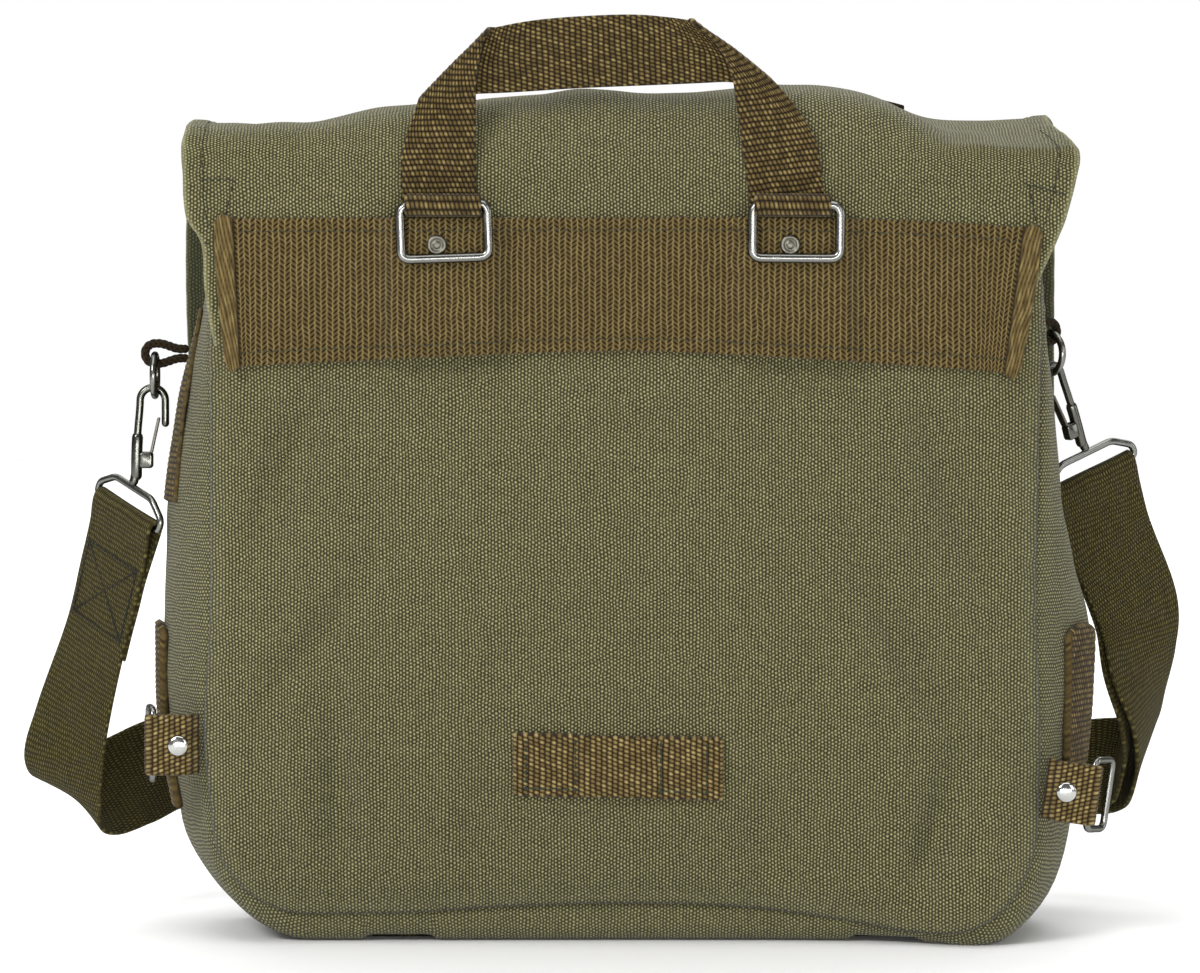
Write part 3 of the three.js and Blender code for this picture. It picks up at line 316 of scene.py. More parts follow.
def bottom_seam(x):
    return along(BOTTOM_ROWS, 1, x)


def dent(x, z):
    total = np.zeros(np.broadcast(x, z).shape)
    for fx, fz, lean, reach, width, depth in BACK_DENTS:
        c, s = math.cos(math.radians(lean)), math.sin(math.radians(lean))
        across = (x - fx) * c - (z - fz) * s
        run = (x - fx) * s + (z - fz) * c
        total += depth * hill(across, 0, width) * hill(run, 0, reach)
    return total


def swell(x, z, dented):
    """How far a panel stands out from the plane of its seam."""
    left, right = along(SIDE_ROWS, 1, z), along(SIDE_ROWS, 3, z)
    share = np.minimum(np.abs((2 * x - left - right) / (right - left)), 1)
    height = z - bottom_seam(x)
    dome = along(DOME_ROWS, 1, height) * (1 - share ** 2.6)
    low = np.clip(height / 30, 0, 1) * (1 - share ** 6) * np.clip((235 - z) / 20, 0, 1)
    return dome - (dent(x, z) * low if dented else 0)


def corner_push(x, z):
    middle_x, middle_z, wide, tall, depth = CORNER_PUSH
    return depth * hill(x, middle_x, wide) * hill(z, middle_z, tall)


def back_y(x, z):
    return -HALF - swell(x, z, True) - corner_push(x, z)


def front_y(x, z):
    return HALF + swell(x, z, False)


def roundness(t, upright):
    """Share of the bulge across the gusset: round up the sides, flatter under the bottom."""
    flat = 1 - np.abs(2 * t - 1) ** 15
    return mix(flat, 1 - np.abs(2 * t - 1) ** 1.75, upright)


def back_hump(side, z, y):
    """Extra fullness of the right side towards the back."""
    if side == "left":
        return 0 * (z + y)
    return along(BACK_HUMP, 1, z) * hill(y, -26, 17)


def side_x(side, z, y):
    """X of the gusset's outer face up a side."""
    sign, seam, full = SIDES[side]
    edge = along(SIDE_ROWS, seam, z)
    bulge = (along(SIDE_ROWS, full, z) - edge) * roundness(y / (2 * GUSSET_HALF) + 0.5, 1.0)
    return edge + bulge + sign * back_hump(side, z, y)


# Mesh building

def show(name, data):
    """New object in the scene."""
    made = bpy.data.objects.new(name, data)
    bpy.context.scene.collection.objects.link(made)
    return made


def build(name, points, quads, material, uv=None, masks=None, ngons=()):
    """Plain smooth mesh object from points in millimetres."""
    points = np.asarray(points, float).reshape(-1, 3)
    quads = np.asarray(quads, int).reshape(-1, 4)
    corner = np.concatenate([quads.ravel(), *[np.asarray(g, int) for g in ngons]]).astype(np.int32)
    sizes = np.array([4] * len(quads) + [len(g) for g in ngons], np.int32)
    starts = np.concatenate([[0], np.cumsum(sizes)[:-1]]).astype(np.int32)
    mesh = bpy.data.meshes.new(name)
    mesh.vertices.add(len(points))
    mesh.vertices.foreach_set("co", (points * MM).astype(np.float32).ravel())
    mesh.loops.add(len(corner))
    mesh.loops.foreach_set("vertex_index", corner)
    mesh.polygons.add(len(sizes))
    mesh.polygons.foreach_set("loop_start", starts)
    mesh.polygons.foreach_set("use_smooth", np.ones(len(sizes), bool))
    mesh.update(calc_edges=True)
    if uv is not None:
        flat = np.asarray(uv, float).reshape(-1, 2)[corner] * MM
        mesh.uv_layers.new(name="cloth").data.foreach_set("uv", flat.astype(np.float32).ravel())
    for key, values in (masks or {}).items():
        mesh.attributes.new(key, "FLOAT", "POINT").data.foreach_set(
            "value", np.asarray(values, np.float32).ravel())
    mesh.materials.append(material)
    return show(name, mesh)


def grid_normals(grid):
    return unit(np.cross(np.gradient(grid, axis=0), np.gradient(grid, axis=1)))


def grid_quads(rows, columns):
    place = np.arange(rows * columns).reshape(rows, columns)
    return np.stack([place[:-1, :-1], place[1:, :-1], place[1:, 1:], place[:-1, 1:]], -1).reshape(-1, 4)


def border(place):
    """Numbers round the edge of a grid."""
    return np.concatenate([place[0, :-1], place[:-1, -1], place[-1, :0:-1], place[:0:-1, 0]])


def cloth(name, grid, thick, material, uv, out, relief=0.0, masks=None, edge=0.35, coarse=1):
    """Closed wall from a grid of its outer face: rounded edges, and a relief on both faces.
    out is 1 where the grid's own normals point outwards, or -1; coarse thins out a hidden inner face."""
    rows, columns = grid.shape[:2]
    normals = grid_normals(grid) * out
    thick = np.broadcast_to(thick, (rows, columns))[..., None]
    height = np.broadcast_to(relief, (rows, columns))[..., None]
    outer = grid + normals * height
    inner = grid - normals * (thick + height)
    count = rows * columns
    place = np.arange(count).reshape(rows, columns)
    rim = border(place)
    away = np.zeros((rows, columns, 3))
    away[0] += unit(grid[0] - grid[1])
    away[-1] += unit(grid[-1] - grid[-2])
    away[:, 0] += unit(grid[:, 0] - grid[:, 1])
    away[:, -1] += unit(grid[:, -1] - grid[:, -2])
    middle = grid.reshape(-1, 3)[rim] - (normals * thick / 2).reshape(-1, 3)[rim]
    middle = middle + unit(away.reshape(-1, 3)[rim]) * thick.reshape(-1, 1)[rim] * edge
    kept = place[::coarse, ::coarse]
    points = np.concatenate([outer.reshape(-1, 3), inner.reshape(-1, 3)[kept.ravel()], middle])
    points[:, 2] = np.maximum(points[:, 2], 0)
    turn = np.roll(np.arange(len(rim)), -1)
    mids = count + kept.size + np.arange(len(rim))
    upper = np.stack([rim, rim[turn], mids[turn], mids], -1)
    back = count + np.arange(kept.size).reshape(kept.shape)
    back_rim = border(back)
    back_face = grid_quads(*kept.shape)[:, ::-1] + count
    quads = np.concatenate([grid_quads(rows, columns), back_face, upper])
    loop = np.append(mids, mids[0])
    ends = np.append(back_rim, back_rim[0])
    walls = [np.concatenate([[ends[k + 1], ends[k]], loop[k * coarse:(k + 1) * coarse + 1]])
             for k in range(len(back_rim))]
    if out < 0:
        quads = quads[:, ::-1]
        walls = [w[::-1] for w in walls]
    every = np.concatenate([np.arange(count), kept.ravel(), rim])
    flat_masks = {key: np.broadcast_to(mask, (rows, columns)).reshape(-1)[every]
                  for key, mask in (masks or {}).items()}
    # inside marks the inner face and, in part, the rims; the canvas finish darkens these as painted shade
    flat_masks["inside"] = np.repeat([0.0, 1.0, 0.3], [count, kept.size, len(rim)])
    return build(name, points, quads, material, uv.reshape(-1, 2)[every], flat_masks, walls)


def sweep(path, closed=False):
    """Frames along a line of points: run, side and up, carried along without twist."""
    path = np.asarray(path, float)
    ahead = np.roll(path, -1, 0) - np.roll(path, 1, 0)
    if not closed:
        ahead[0], ahead[-1] = path[1] - path[0], path[-1] - path[-2]
    run = unit(ahead)
    start = np.array([0, 0, 1.0]) if abs(run[0, 2]) < 0.9 else np.array([0, 1.0, 0])
    sides = [unit(np.cross(run[0], start))]
    for k in range(1, len(path)):
        s = sides[-1] - run[k] * (sides[-1] @ run[k])
        sides.append(unit(s))
    side = np.array(sides)
    return run, side, np.cross(run, side)


def drum(rings, closed=False):
    """Body from rings of points: capped at the first and last one, or closed to a loop."""
    place = np.arange(rings.shape[0] * rings.shape[1]).reshape(rings.shape[:2])
    if closed:
        place = np.vstack([place, place[:1]])
    nxt = np.roll(place, -1, 1)
    quads = np.stack([place[:-1], nxt[:-1], nxt[1:], place[1:]], -1).reshape(-1, 4)
    return rings.reshape(-1, 3), quads, [] if closed else [place[0][::-1], place[-1]]


def wire(path, radius, sides=16, closed=False, relief=None):
    """Points and faces of a round wire along a path, with domed ends where it is open."""
    path = np.asarray(path, float)
    run, side, up = sweep(path, closed)
    scale = np.ones(len(path))
    if not closed:
        dome = np.radians([80, 55, 28])
        first = [path[0] - run[0] * radius * math.sin(a) for a in dome]
        last = [path[-1] + run[-1] * radius * math.sin(a) for a in dome[::-1]]
        path = np.concatenate([first, path, last])
        side = np.concatenate([side[:1]] * 3 + [side] + [side[-1:]] * 3)
        up = np.concatenate([up[:1]] * 3 + [up] + [up[-1:]] * 3)
        scale = np.concatenate([np.cos(dome), scale, np.cos(dome[::-1])])
    angle = np.arange(sides) * 2 * math.pi / sides
    reach = radius * scale[:, None]
    if relief is not None:
        extra = relief(np.arange(len(path))[:, None] / (len(path) - 1), angle[None, :] / (2 * math.pi))
        reach = reach + extra * scale[:, None]
    ring = np.cos(angle)[None, :, None] * side[:, None] + np.sin(angle)[None, :, None] * up[:, None]
    return drum(path[:, None] + ring * reach[..., None], closed)


def seat(made, node, body="bag"):
    """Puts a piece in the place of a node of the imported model."""
    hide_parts(node)
    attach(made, body)
    return made


def metal_piece(name, parts, finish, matrix=None, shift=(0, 0, 0), body="bag"):
    """One piece of several closed bodies, each (points, quads, ngons), moved into place."""
    points, quads, ngons, start = [], [], [], 0
    for part in parts:
        points.append(part[0])
        quads.append(np.asarray(part[1]) + start)
        ngons += [np.asarray(g) + start for g in part[2]]
        start += len(part[0])
    points = np.concatenate(points)
    if matrix is not None:
        points = points @ np.asarray(matrix).T
    points = points + np.asarray(shift, float)
    return seat(build(name, points, np.concatenate(quads), finish, ngons=ngons), name, body)


def rounded_loop(corners, bend, steps=7, straight=3.0):
    """Closed line through corners in the XZ plane, each rounded."""
    corners = np.asarray(corners, float)
    line = []
    for k, here in enumerate(corners):
        before, after = corners[k - 1], corners[(k + 1) % len(corners)]
        start = here + unit(before - here) * bend
        end = here + unit(after - here) * bend
        t = np.linspace(0, 1, steps)[:, None]
        line.append((1 - t) ** 2 * start + 2 * t * (1 - t) * here + t * t * end)
        nxt = after + unit(here - after) * bend
        count = max(1, int(np.linalg.norm(nxt - end) / straight))
        line.append(end + (nxt - end) * (np.arange(1, count) / count)[:, None])
    flat = np.concatenate(line)
    return stack(flat[:, 0], 0.0, flat[:, 1])


def lathe(profile, segments=40):
    """Closed body turned about the Y axis from (radius, y) pairs that start and end near the axis."""
    profile = np.asarray(profile, float)
    angle = np.arange(segments) * 2 * math.pi / segments
    return drum(stack(profile[:, :1] * np.cos(angle), profile[:, 1:], profile[:, :1] * np.sin(angle)))


def spline(points, step):
    """Smooth line through points, and the place of each of its points in the list."""
    points = np.asarray(points, float)
    chord = np.linalg.norm(np.diff(points[:, :3], axis=0), axis=1) ** 0.5
    keys = np.concatenate([[0], np.cumsum(chord)])
    values = through(keys, points, np.linspace(0, keys[-1], 4000))
    length = lengths(values[:, :3])
    even = np.linspace(0, length[-1], max(2, int(length[-1] / step) + 1))
    return np.stack([np.interp(even, length, values[:, c]) for c in range(points.shape[1])], -1), even


# Materials

def put(tree, value, target):
    value = getattr(value, "socket", value)
    if isinstance(value, bpy.types.NodeSocket):
        tree.links.new(value, target)
    else:
        target.default_value = value


def fill(tree, node, **inputs):
    """Links or sets inputs of a node, named, or numbered as in _0."""
    for key, value in inputs.items():
        put(tree, value, node.inputs[int(key[1:]) if key[1:].isdigit() else key.replace("_", " ")])


def add(tree, kind, props=None, **inputs):
    made = tree.nodes.new("ShaderNode" + kind)
    for key, value in (props or {}).items():
        setattr(made, key, value)
    fill(tree, made, **inputs)
    return made


class Num:
    """A value in a node tree; arithmetic with it adds Math nodes."""

    def __init__(self, tree, socket):
        self.tree, self.socket = tree, socket

    def math(self, operation, *others):
        inputs = {f"_{k}": value for k, value in enumerate((self, *others))}
        return Num(self.tree, add(self.tree, "Math", {"operation": operation}, **inputs).outputs[0])

    def wave(self, operation, turns):
        return (self * (turns * math.pi)).math(operation)

    def __add__(self, other):
        return self.math("ADD", other)

    def __sub__(self, other):
        return self.math("SUBTRACT", other)

    def __mul__(self, other):
        return self.math("MULTIPLY", other)

    def __truediv__(self, other):
        return self.math("DIVIDE", other)

    def __pow__(self, other):
        return self.math("POWER", other)


def named(tree, sockets):
    return {s.name: Num(tree, s) for s in sockets}


def vector(tree, operation, value, **more):
    return add(tree, "VectorMath", {"operation": operation}, _0=value, **more).outputs[0]


def split(tree, value):
    """X and Y of a vector."""
    parts = add(tree, "SeparateXYZ", None, Vector=value).outputs
    return Num(tree, parts[0]), Num(tree, parts[1])


def join(tree, x, y):
    return add(tree, "CombineXYZ", None, X=x, Y=y).outputs[0]


def noise(tree, place, scale, detail, output="Fac"):
    return Num(tree, add(tree, "TexNoise", None, Vector=place, Scale=scale, Detail=detail).outputs[output])


def cell_noise(tree, x, y):
    cell = add(tree, "TexWhiteNoise", {"noise_dimensions": "2D"}, Vector=join(tree, x, y))
    return Num(tree, cell.outputs["Value"])


def mask(tree, name):
    return Num(tree, add(tree, "Attribute", {"attribute_name": name}).outputs["Fac"])


def choose(tree, factor, a, b):
    return Num(tree, add(tree, "Mix", {"data_type": "FLOAT"}, _0=factor, _2=a, _3=b).outputs[0])


def blend(tree, way, factor, a, b):
    return add(tree, "Mix", {"data_type": "RGBA", "blend_type": way}, _0=factor, _6=a, _7=b).outputs[2]


def group(name, inputs, outputs):
    tree = bpy.data.node_groups.new(name, "ShaderNodeTree")
    for label, kind, value in inputs:
        made = tree.interface.new_socket(label, in_out="INPUT", socket_type="NodeSocket" + kind)
        if value is not None:
            made.default_value = value
    for label in outputs:
        tree.interface.new_socket(label, in_out="OUTPUT", socket_type="NodeSocketFloat")
    start, end = tree.nodes.new("NodeGroupInput"), tree.nodes.new("NodeGroupOutput")
    return tree, named(tree, start.outputs), end.inputs


def colour(r, g, b):
    """Linear colour from screen values."""
    lin = [c / 255 / 12.92 if c <= 10 else ((c / 255 + 0.055) / 1.055) ** 2.4 for c in (r, g, b)]
    return (*lin, 1.0)


def yarn_weave_group():
    """Staggered beads of a plain weave on cloth coordinates in metres: columns Across apart, beads Along apart."""
    tree, given, result = group(
        "yarn_weave",
        [("Cloth", "Vector", None), ("Across", "Float", 1.35), ("Along", "Float", 1.58),
         ("Column Share", "Float", 0.26), ("Wobble", "Float", 0.35)],
        ["Height", "Fleck"],
    )
    size = vector(tree, "SCALE", given["Cloth"], Scale=1000.0)
    drift = vector(tree, "SUBTRACT", noise(tree, size, 0.11, 2.0, "Color"), _1=(0.5, 0.5, 0.5))
    drift = vector(tree, "SCALE", vector(tree, "SCALE", drift, Scale=given["Wobble"]), Scale=6.0)
    x, y = split(tree, vector(tree, "ADD", size, _1=drift))
    u, v = x / given["Across"], y / given["Along"]
    spots = u.wave("COSINE", 1) * v.wave("COSINE", 2)
    put(tree, u.wave("COSINE", 2) * given["Column Share"] + (spots * 0.4 + 0.34), result["Height"])
    odd = cell_noise(tree, u.math("ROUND"), (v * 2.0).math("ROUND"))
    warp, weft = (noise(tree, join(tree, x * a, y * b), 1.0, 1.0) for a, b in ((0.8, 0.03), (0.03, 0.8)))
    put(tree, odd * 0.5 + (warp + weft) * 0.25, result["Fleck"])
    return tree


def webbing_weave_group():
    """Height of webbing on cloth coordinates in metres: plain staggered beads, or herringbone chevrons."""
    tree, given, result = group(
        "webbing_weave",
        [("Cloth", "Vector", None), ("Row", "Float", 2.3), ("Bead", "Float", 1.8), ("Slant", "Float", 0.35),
         ("Herringbone", "Float", 0.0)],
        ["Height"],
    )
    x, y = split(tree, vector(tree, "SCALE", given["Cloth"], Scale=1000.0))
    rows = x / given["Row"]
    i = rows.math("FLOOR")
    fu = rows - i
    turn = i.math("FLOORED_MODULO", 2.0) * -2.0 + 1.0
    lean = given["Herringbone"] * (turn - 1.0) + 1.0
    w = y / given["Bead"] + (turn * 0.25 + given["Slant"] * lean * (fu - 0.5))
    ridge = fu.wave("SINE", 1)
    bead = w.math("FRACT").wave("SINE", 1)
    plain_high = (ridge ** 0.45 * 0.86 + 0.14) * (bead ** 0.42 * 0.94 + 0.06)
    slit = w.wave("COSINE", 2).math("MAXIMUM", 0.0)
    gap = ridge ** 0.9 * (slit / 0.8).math("MINIMUM", 1.0)
    chevron_high = (ridge * -0.36 + 1.0) * (gap * -0.96 + 1.0)
    odd = cell_noise(tree, i, w.math("FLOOR"))
    uneven = odd * (given["Herringbone"] * 0.12 - 0.26) + 1.0
    put(tree, choose(tree, given["Herringbone"], plain_high, chevron_high) * uneven, result["Height"])
    return tree


def broad_tone_group():
    """Slow change of tone over a piece, as handling and light fading leave it."""
    tree, given, result = group(
        "broad_tone", [("Place", "Vector", None), ("Size", "Float", 9.0), ("Amount", "Float", 0.16)], ["Tone"])
    cloud = noise(tree, given["Place"], given["Size"], 3.0)
    put(tree, (cloud - 0.5) * given["Amount"] + 1.0, result["Tone"])
    return tree


YARN_WEAVE = yarn_weave_group()
WEBBING_WEAVE = webbing_weave_group()
BROAD_TONE = broad_tone_group()


def material(name):
    made = bpy.data.materials.new(name)
    made.use_nodes = True
    tree = made.node_tree
    return made, tree, tree.nodes["Principled BSDF"]


def use(tree, shared, **inputs):
    return named(tree, add(tree, "Group", {"node_tree": shared}, **inputs).outputs)


def object_place(tree):
    return add(tree, "TexCoord").outputs["Object"]


def toned(tree, tint, **amounts):
    """A colour with the slow change of tone over it."""
    tone = use(tree, BROAD_TONE, Place=object_place(tree), **amounts)["Tone"]
    return blend(tree, "MULTIPLY", 1.0, tint, tone)


def lumps(tree, strength, distance, height):
    return add(tree, "Bump", None, Strength=strength, Distance=distance, Height=height).outputs[0]


def cloth_map(tree):
    return add(tree, "UVMap", {"uv_map": "cloth"}).outputs[0]


def finish_cloth(tree, shader, tint, height, bump, distance, sheen):
    fill(tree, shader, Base_Color=toned(tree, tint), Roughness=0.95, Specular_IOR_Level=0.15, Sheen_Weight=sheen,
         Sheen_Roughness=0.6, Normal=lumps(tree, bump, distance, height))


def tones(*rows):
    """Stops of a ramp of colours: place and screen values."""
    return [(place, colour(*tint)) for place, *tint in rows]


def ramp(tree, factor, stops):
    made = add(tree, "ValToRGB", None, Fac=factor)
    bar = made.color_ramp
    while len(bar.elements) < len(stops):
        bar.elements.new(0.5)
    for spot, (place, tint) in zip(bar.elements, stops):
        spot.position = place
        spot.color = tint
    return made.outputs[0]


def woven(name, stops, across, along_pitch, columns, bump, distance, sheen, inner_face_shade=0.7, contrast=0.74):
    """Cloth whose weave is finer than its mesh: canvas and the shoulder strap."""
    made, tree, shader = material(name)
    weave = use(tree, YARN_WEAVE, Cloth=cloth_map(tree), Across=across, Along=along_pitch, Column_Share=columns)
    mixed = weave["Height"] * contrast + weave["Fleck"] * (1 - contrast)
    # lightens towards the lightest tone: wear at rubbed edges and seams, and a painted highlight along the flap's
    # edge and the seam rims
    tint = blend(tree, "MIX", mask(tree, "wear_and_highlight") ** 2.0 * 0.45, ramp(tree, mixed, stops), stops[-1][1])
    # painted shade: the inner faces and rims of the canvas, shut in under the flap and inside the bag, are darkened
    # towards dark olive
    tint = blend(tree, "MIX", mask(tree, "inside") * inner_face_shade, tint, colour(40, 44, 30))
    # painted shade: darkens the cloth towards near black along the seams, where the panel rolls over the gusset
    tint = blend(tree, "MIX", mask(tree, "painted_seam_shade"), tint, colour(16, 14, 5))
    finish_cloth(tree, shader, tint, mixed, bump, distance, sheen)
    return made


def webbing(name, stops, pattern, herringbone=0.0, bump=0.35):
    """Webbing whose beads are in the mesh too; where the mask own is 1, the mask weave is their height instead."""
    made, tree, shader = material(name)
    row, bead, slant = pattern
    places = cloth_map(tree)
    beads_high = use(tree, WEBBING_WEAVE, Cloth=places, Row=row, Bead=bead, Slant=slant, Herringbone=herringbone)
    height = choose(tree, mask(tree, "own"), beads_high["Height"], mask(tree, "weave"))
    stretched = add(tree, "Mapping", None, Vector=places, Scale=(900.0, 5200.0, 1.0)).outputs[0]
    fibre = noise(tree, stretched, 1.0, 2.0)
    finish_cloth(tree, shader, ramp(tree, height * 0.85 + fibre * 0.25, stops), fibre, bump, 0.0003, 0.05)
    return made


def metal(name, tint, rough, scratch):
    made, tree, shader = material(name)
    place = object_place(tree)
    cloud = noise(tree, place, 220.0, 4.0)
    fill(tree, shader, Base_Color=blend(tree, "MULTIPLY", 1.0, (*tint, 1), cloud * 0.3 + 0.85),
         Roughness=cloud * 0.25 + rough, Metallic=1.0, Specular_Tint=(0.25, 0.25, 0.24, 1),
         Normal=lumps(tree, scratch, 0.0002, noise(tree, place, 1400.0, 2.0)))
    return made


def plain(name, tint, rough):
    made, tree, shader = material(name)
    fill(tree, shader, Base_Color=toned(tree, tint, Size=40.0, Amount=0.3), Roughness=rough)
    return made


# Webbing: pitch of the rows, pitch of the beads in a row, slant
PLAIN_BEADS = (2.30, 1.82, 0.35)
BAND_BEADS = (2.44, 1.93, 0.85)
CORD_BEADS = (2.0, 2.0, 0.0)

CANVAS_TONES = tones((0.04, 18, 16, 2), (0.36, 66, 63, 37), (0.86, 144, 141, 103))
STRAP_TONES = tones((0.04, 8, 4, 0), (0.36, 47, 42, 15), (0.86, 104, 96, 55))
TRIM_TONES = tones((0.1, 5, 2, 0), (0.5, 30, 20, 4), (0.8, 85, 71, 38), (1.0, 138, 122, 79))
LOOP_TONES = tones((0.1, 10, 5, 0), (0.5, 42, 31, 11), (0.8, 106, 90, 53), (1.0, 160, 143, 97))
BAND_TONES = tones((0.14, 5, 2, 0), (0.45, 46, 35, 12), (0.75, 84, 70, 38), (1.0, 128, 113, 73))
canvas = woven("olive_canvas", CANVAS_TONES, 1.353, 1.577, 0.26, 0.7, 0.0005, 0.10)
strap_cloth = woven("dark_strap_webbing", STRAP_TONES, 2.16, 1.16, 0.13, 0.9, 0.0007, 0.02, 0.0)
trim = webbing("brown_webbing", TRIM_TONES, PLAIN_BEADS)
loop_trim = webbing("pale_brown_webbing", LOOP_TONES, PLAIN_BEADS)
band_trim = webbing("herringbone_webbing", BAND_TONES, BAND_BEADS, 1.0)
cord_cloth = webbing("braided_cord", LOOP_TONES, CORD_BEADS)
green_thread = plain("green_thread", colour(22, 40, 28), 0.8)
olive_thread = plain("olive_thread", colour(26, 32, 20), 0.8)
dark_thread = plain("dark_thread", colour(15, 14, 5), 0.85)
nickel = metal("nickel_wire", (0.21, 0.21, 0.195), 0.13, 0.05)
dark_nickel = metal("dark_nickel", (0.12, 0.12, 0.105), 0.12, 0.04)
bright_dome = metal("polished_rivet", (0.5, 0.5, 0.48), 0.02, 0.04)
worn_steel = metal("worn_rivet", (0.13, 0.125, 0.1), 0.26, 0.25)
dull_steel = metal("dull_sheet_steel", (0.13, 0.12, 0.1), 0.28, 0.2)


def wander(u, v, seed):
    """Cloth coordinates with the small wander of hand-fed yarn."""
    place = stack(u, v)
    return u + 0.18 * ripple(place, 14, seed), v + 0.12 * ripple(place, 17, seed + 1)


def bead_cells(u, v, pattern, herringbone):
    row, bead, slant = pattern
    i = np.floor(u / row)
    fu = u / row - i
    turn = np.where(i % 2 == 0, 1, -1)
    return np.sin(math.pi * fu), v / bead + 0.25 * turn + slant * (turn if herringbone else 1) * (fu - 0.5)


def beads(u, v):
    """Height of plain webbing, 0 in the gaps to 1 on the beads; u runs along the webbing, v across it."""
    ridge, w = bead_cells(u, v, PLAIN_BEADS, False)
    return (0.14 + 0.86 * ridge ** 0.45) * (0.06 + 0.94 * np.sin(math.pi * (w - np.floor(w))) ** 0.42)


def chevrons(u, v):
    """Height of herringbone webbing: ridges along the rows, and slanted gaps that lean to and fro between them."""
    ridge, w = bead_cells(u, v, BAND_BEADS, True)
    gap = ridge ** 0.9 * np.clip(np.cos(2 * math.pi * w) / 0.8, 0, 1)
    return (1 - 0.36 * ridge) * (1 - 0.96 * gap)


def sewn_webbing(name, grid, thick, finish, u, v, seed, out, depth=0.6, **more):
    """Plain webbing on a grid of its outer face, with its beads, in the place of its node."""
    woven_uv = wander(u, v, seed)
    relief = (beads(*woven_uv) - BEAD_MIDDLE) * depth
    seat(cloth(name, grid, thick, finish, stack(*woven_uv), out, relief, **more), name)


# Flat strips that are bent and folded

def bend_strip(u, v, w, bends):
    """Place of points of a flat strip (u along +Z, v along X, w along Y) after its bends."""
    point = stack(v, w, u).astype(float)
    for at, skew, radius, turn in reversed(bends):
        s = math.radians(skew)
        past = (u - at) * math.cos(s) - v * math.sin(s)
        angle = np.clip(past / radius, 0, abs(math.radians(turn)))
        sign = math.copysign(1, turn)
        line = np.array([math.cos(s), 0, math.sin(s)])
        ahead = np.array([-math.sin(s), 0, math.cos(s)])
        rest = point - np.array([0, 0, at])
        go = rest @ ahead - angle * radius
        rise = rest[..., 1]
        c, n = np.cos(angle), np.sin(angle)
        along_line = (rest @ line)[..., None] * line
        forward = (go * c - sign * rise * n + radius * n)[..., None] * ahead
        point = np.array([0, 0, at]) + along_line + forward
        point[..., 1] += sign * go * n + rise * c + sign * radius * (1 - c)
    return point


def strip_stations(length, bends, step):
    """Places along a strip and the shear of each row, so that rows lie along the folds."""
    stations = [(0.0, 0.0)]
    for at, skew, radius, turn in bends:
        shear = math.tan(math.radians(skew))
        zone = radius * abs(math.radians(turn)) / math.cos(math.radians(skew))
        stations += [(at, shear), (at + zone, shear)]
    stations.append((length, 0.0))
    knots = np.array(stations)
    places = []
    for (a, _), (b, _) in zip(stations[:-1], stations[1:]):
        count = max(2, int(round((b - a) / step)))
        places.append(np.linspace(a, b, count, endpoint=False))
    places = np.append(np.concatenate(places), length)
    return places, np.interp(places, knots[:, 0], knots[:, 1])


def soften_folds(points, bends, pulls):
    """Draws in the outer edge of loose folds: a round fold stands less far out than a pressed one."""
    points = points.copy()
    for (at, skew, radius, _), pull in zip(bends, pulls):
        s = math.radians(skew)
        v = np.array([-15.0, 15.0])
        fold = at + radius * math.pi / 2 / math.cos(s) + v * math.tan(s)
        start, end = bend_strip(fold, v, 0 * v, bends)[:, [0, 2]]
        way = unit(end - start)
        inward = np.array([way[1], -way[0]])
        inward = inward * np.sign(inward @ (np.array([70.0, 40.0]) - start))
        apart = (points[..., [0, 2]] - start) @ inward
        points[..., 0] += pull * np.clip(1 - apart / 17, 0, 1.1) ** 1.5
        tip = max(start, end, key=lambda p: p[1]) + np.array([pull, 0])
        near = ((points[..., 0] - tip[0]) / 16) ** 2 + ((points[..., 2] - tip[1]) / 16) ** 2
        points[..., 2] -= 0.22 * abs(pull) * np.exp(-near)
    return points


def strip(name, width, length, bends, step, seed, place, turn=None, root=0.0, pulls=(), finish=trim, tuck=0.0):
    """Bent piece of webbing; its outer face is the one turned to -Y before bending."""
    u0, shear = strip_stations(length, bends, step)
    u0, shear = u0[u0 >= root], shear[u0 >= root]
    v = np.linspace(-width / 2, width / 2, int(width / (step * 0.85)) + 1)[None] + 0 * u0[:, None]
    u = u0[:, None] + v * shear[:, None]
    rim = np.clip((width / 2 - np.abs(v)) / 1.6, 0, 1)
    gathered = v + 0.25 * ripple(stack(u, 0.4 * v), 60, seed + 5)
    for at, skew, _, _ in bends:
        if skew:
            past = (u - at) * math.cos(math.radians(skew)) - v * math.sin(math.radians(skew))
            gathered = gathered - 0.08 * v * hill(past, 2, 8)
    leaning = 0 * u
    if pulls:
        leaning = smooth((u - bends[0][0] - 8) / 14) * smooth((bends[1][0] - u) / 14)
    outer = bend_strip(u, gathered * (1 - SPAN_LEAN * leaning), -WEBBING - 0 * u, bends)
    outer[..., 2] += SPAN_LEAN * 15 * leaning
    outer = soften_folds(outer, bends, pulls)
    outer[..., 1] += tuck * (1 - smooth((u - root) / 5))
    if turn is not None:
        outer = outer @ np.asarray(turn).T
    outer = outer + np.asarray(place, float)
    sewn_webbing(name, outer, WEBBING, finish, u, v, seed, -1, 0.6 * (0.4 + 0.6 * rim))


# Camera at the photo's angle: far, a little above the middle of the bag and aimed at it
SENSOR, AWAY, SEEN_WIDE = 36, 2003, 492
CAMERA_AT = (-0.01025, -2.055, 0.300)
CAMERA_DROP = math.atan2(110, 2000)
lens = bpy.data.cameras.new("photo_camera")
lens.sensor_width = SENSOR
lens.lens = SENSOR * AWAY / SEEN_WIDE
camera = show("photo_camera", lens)
camera.location = CAMERA_AT
camera.rotation_euler = (math.pi / 2 - CAMERA_DROP, 0, 0)
bpy.context.scene.camera = camera


# Shoulder strap

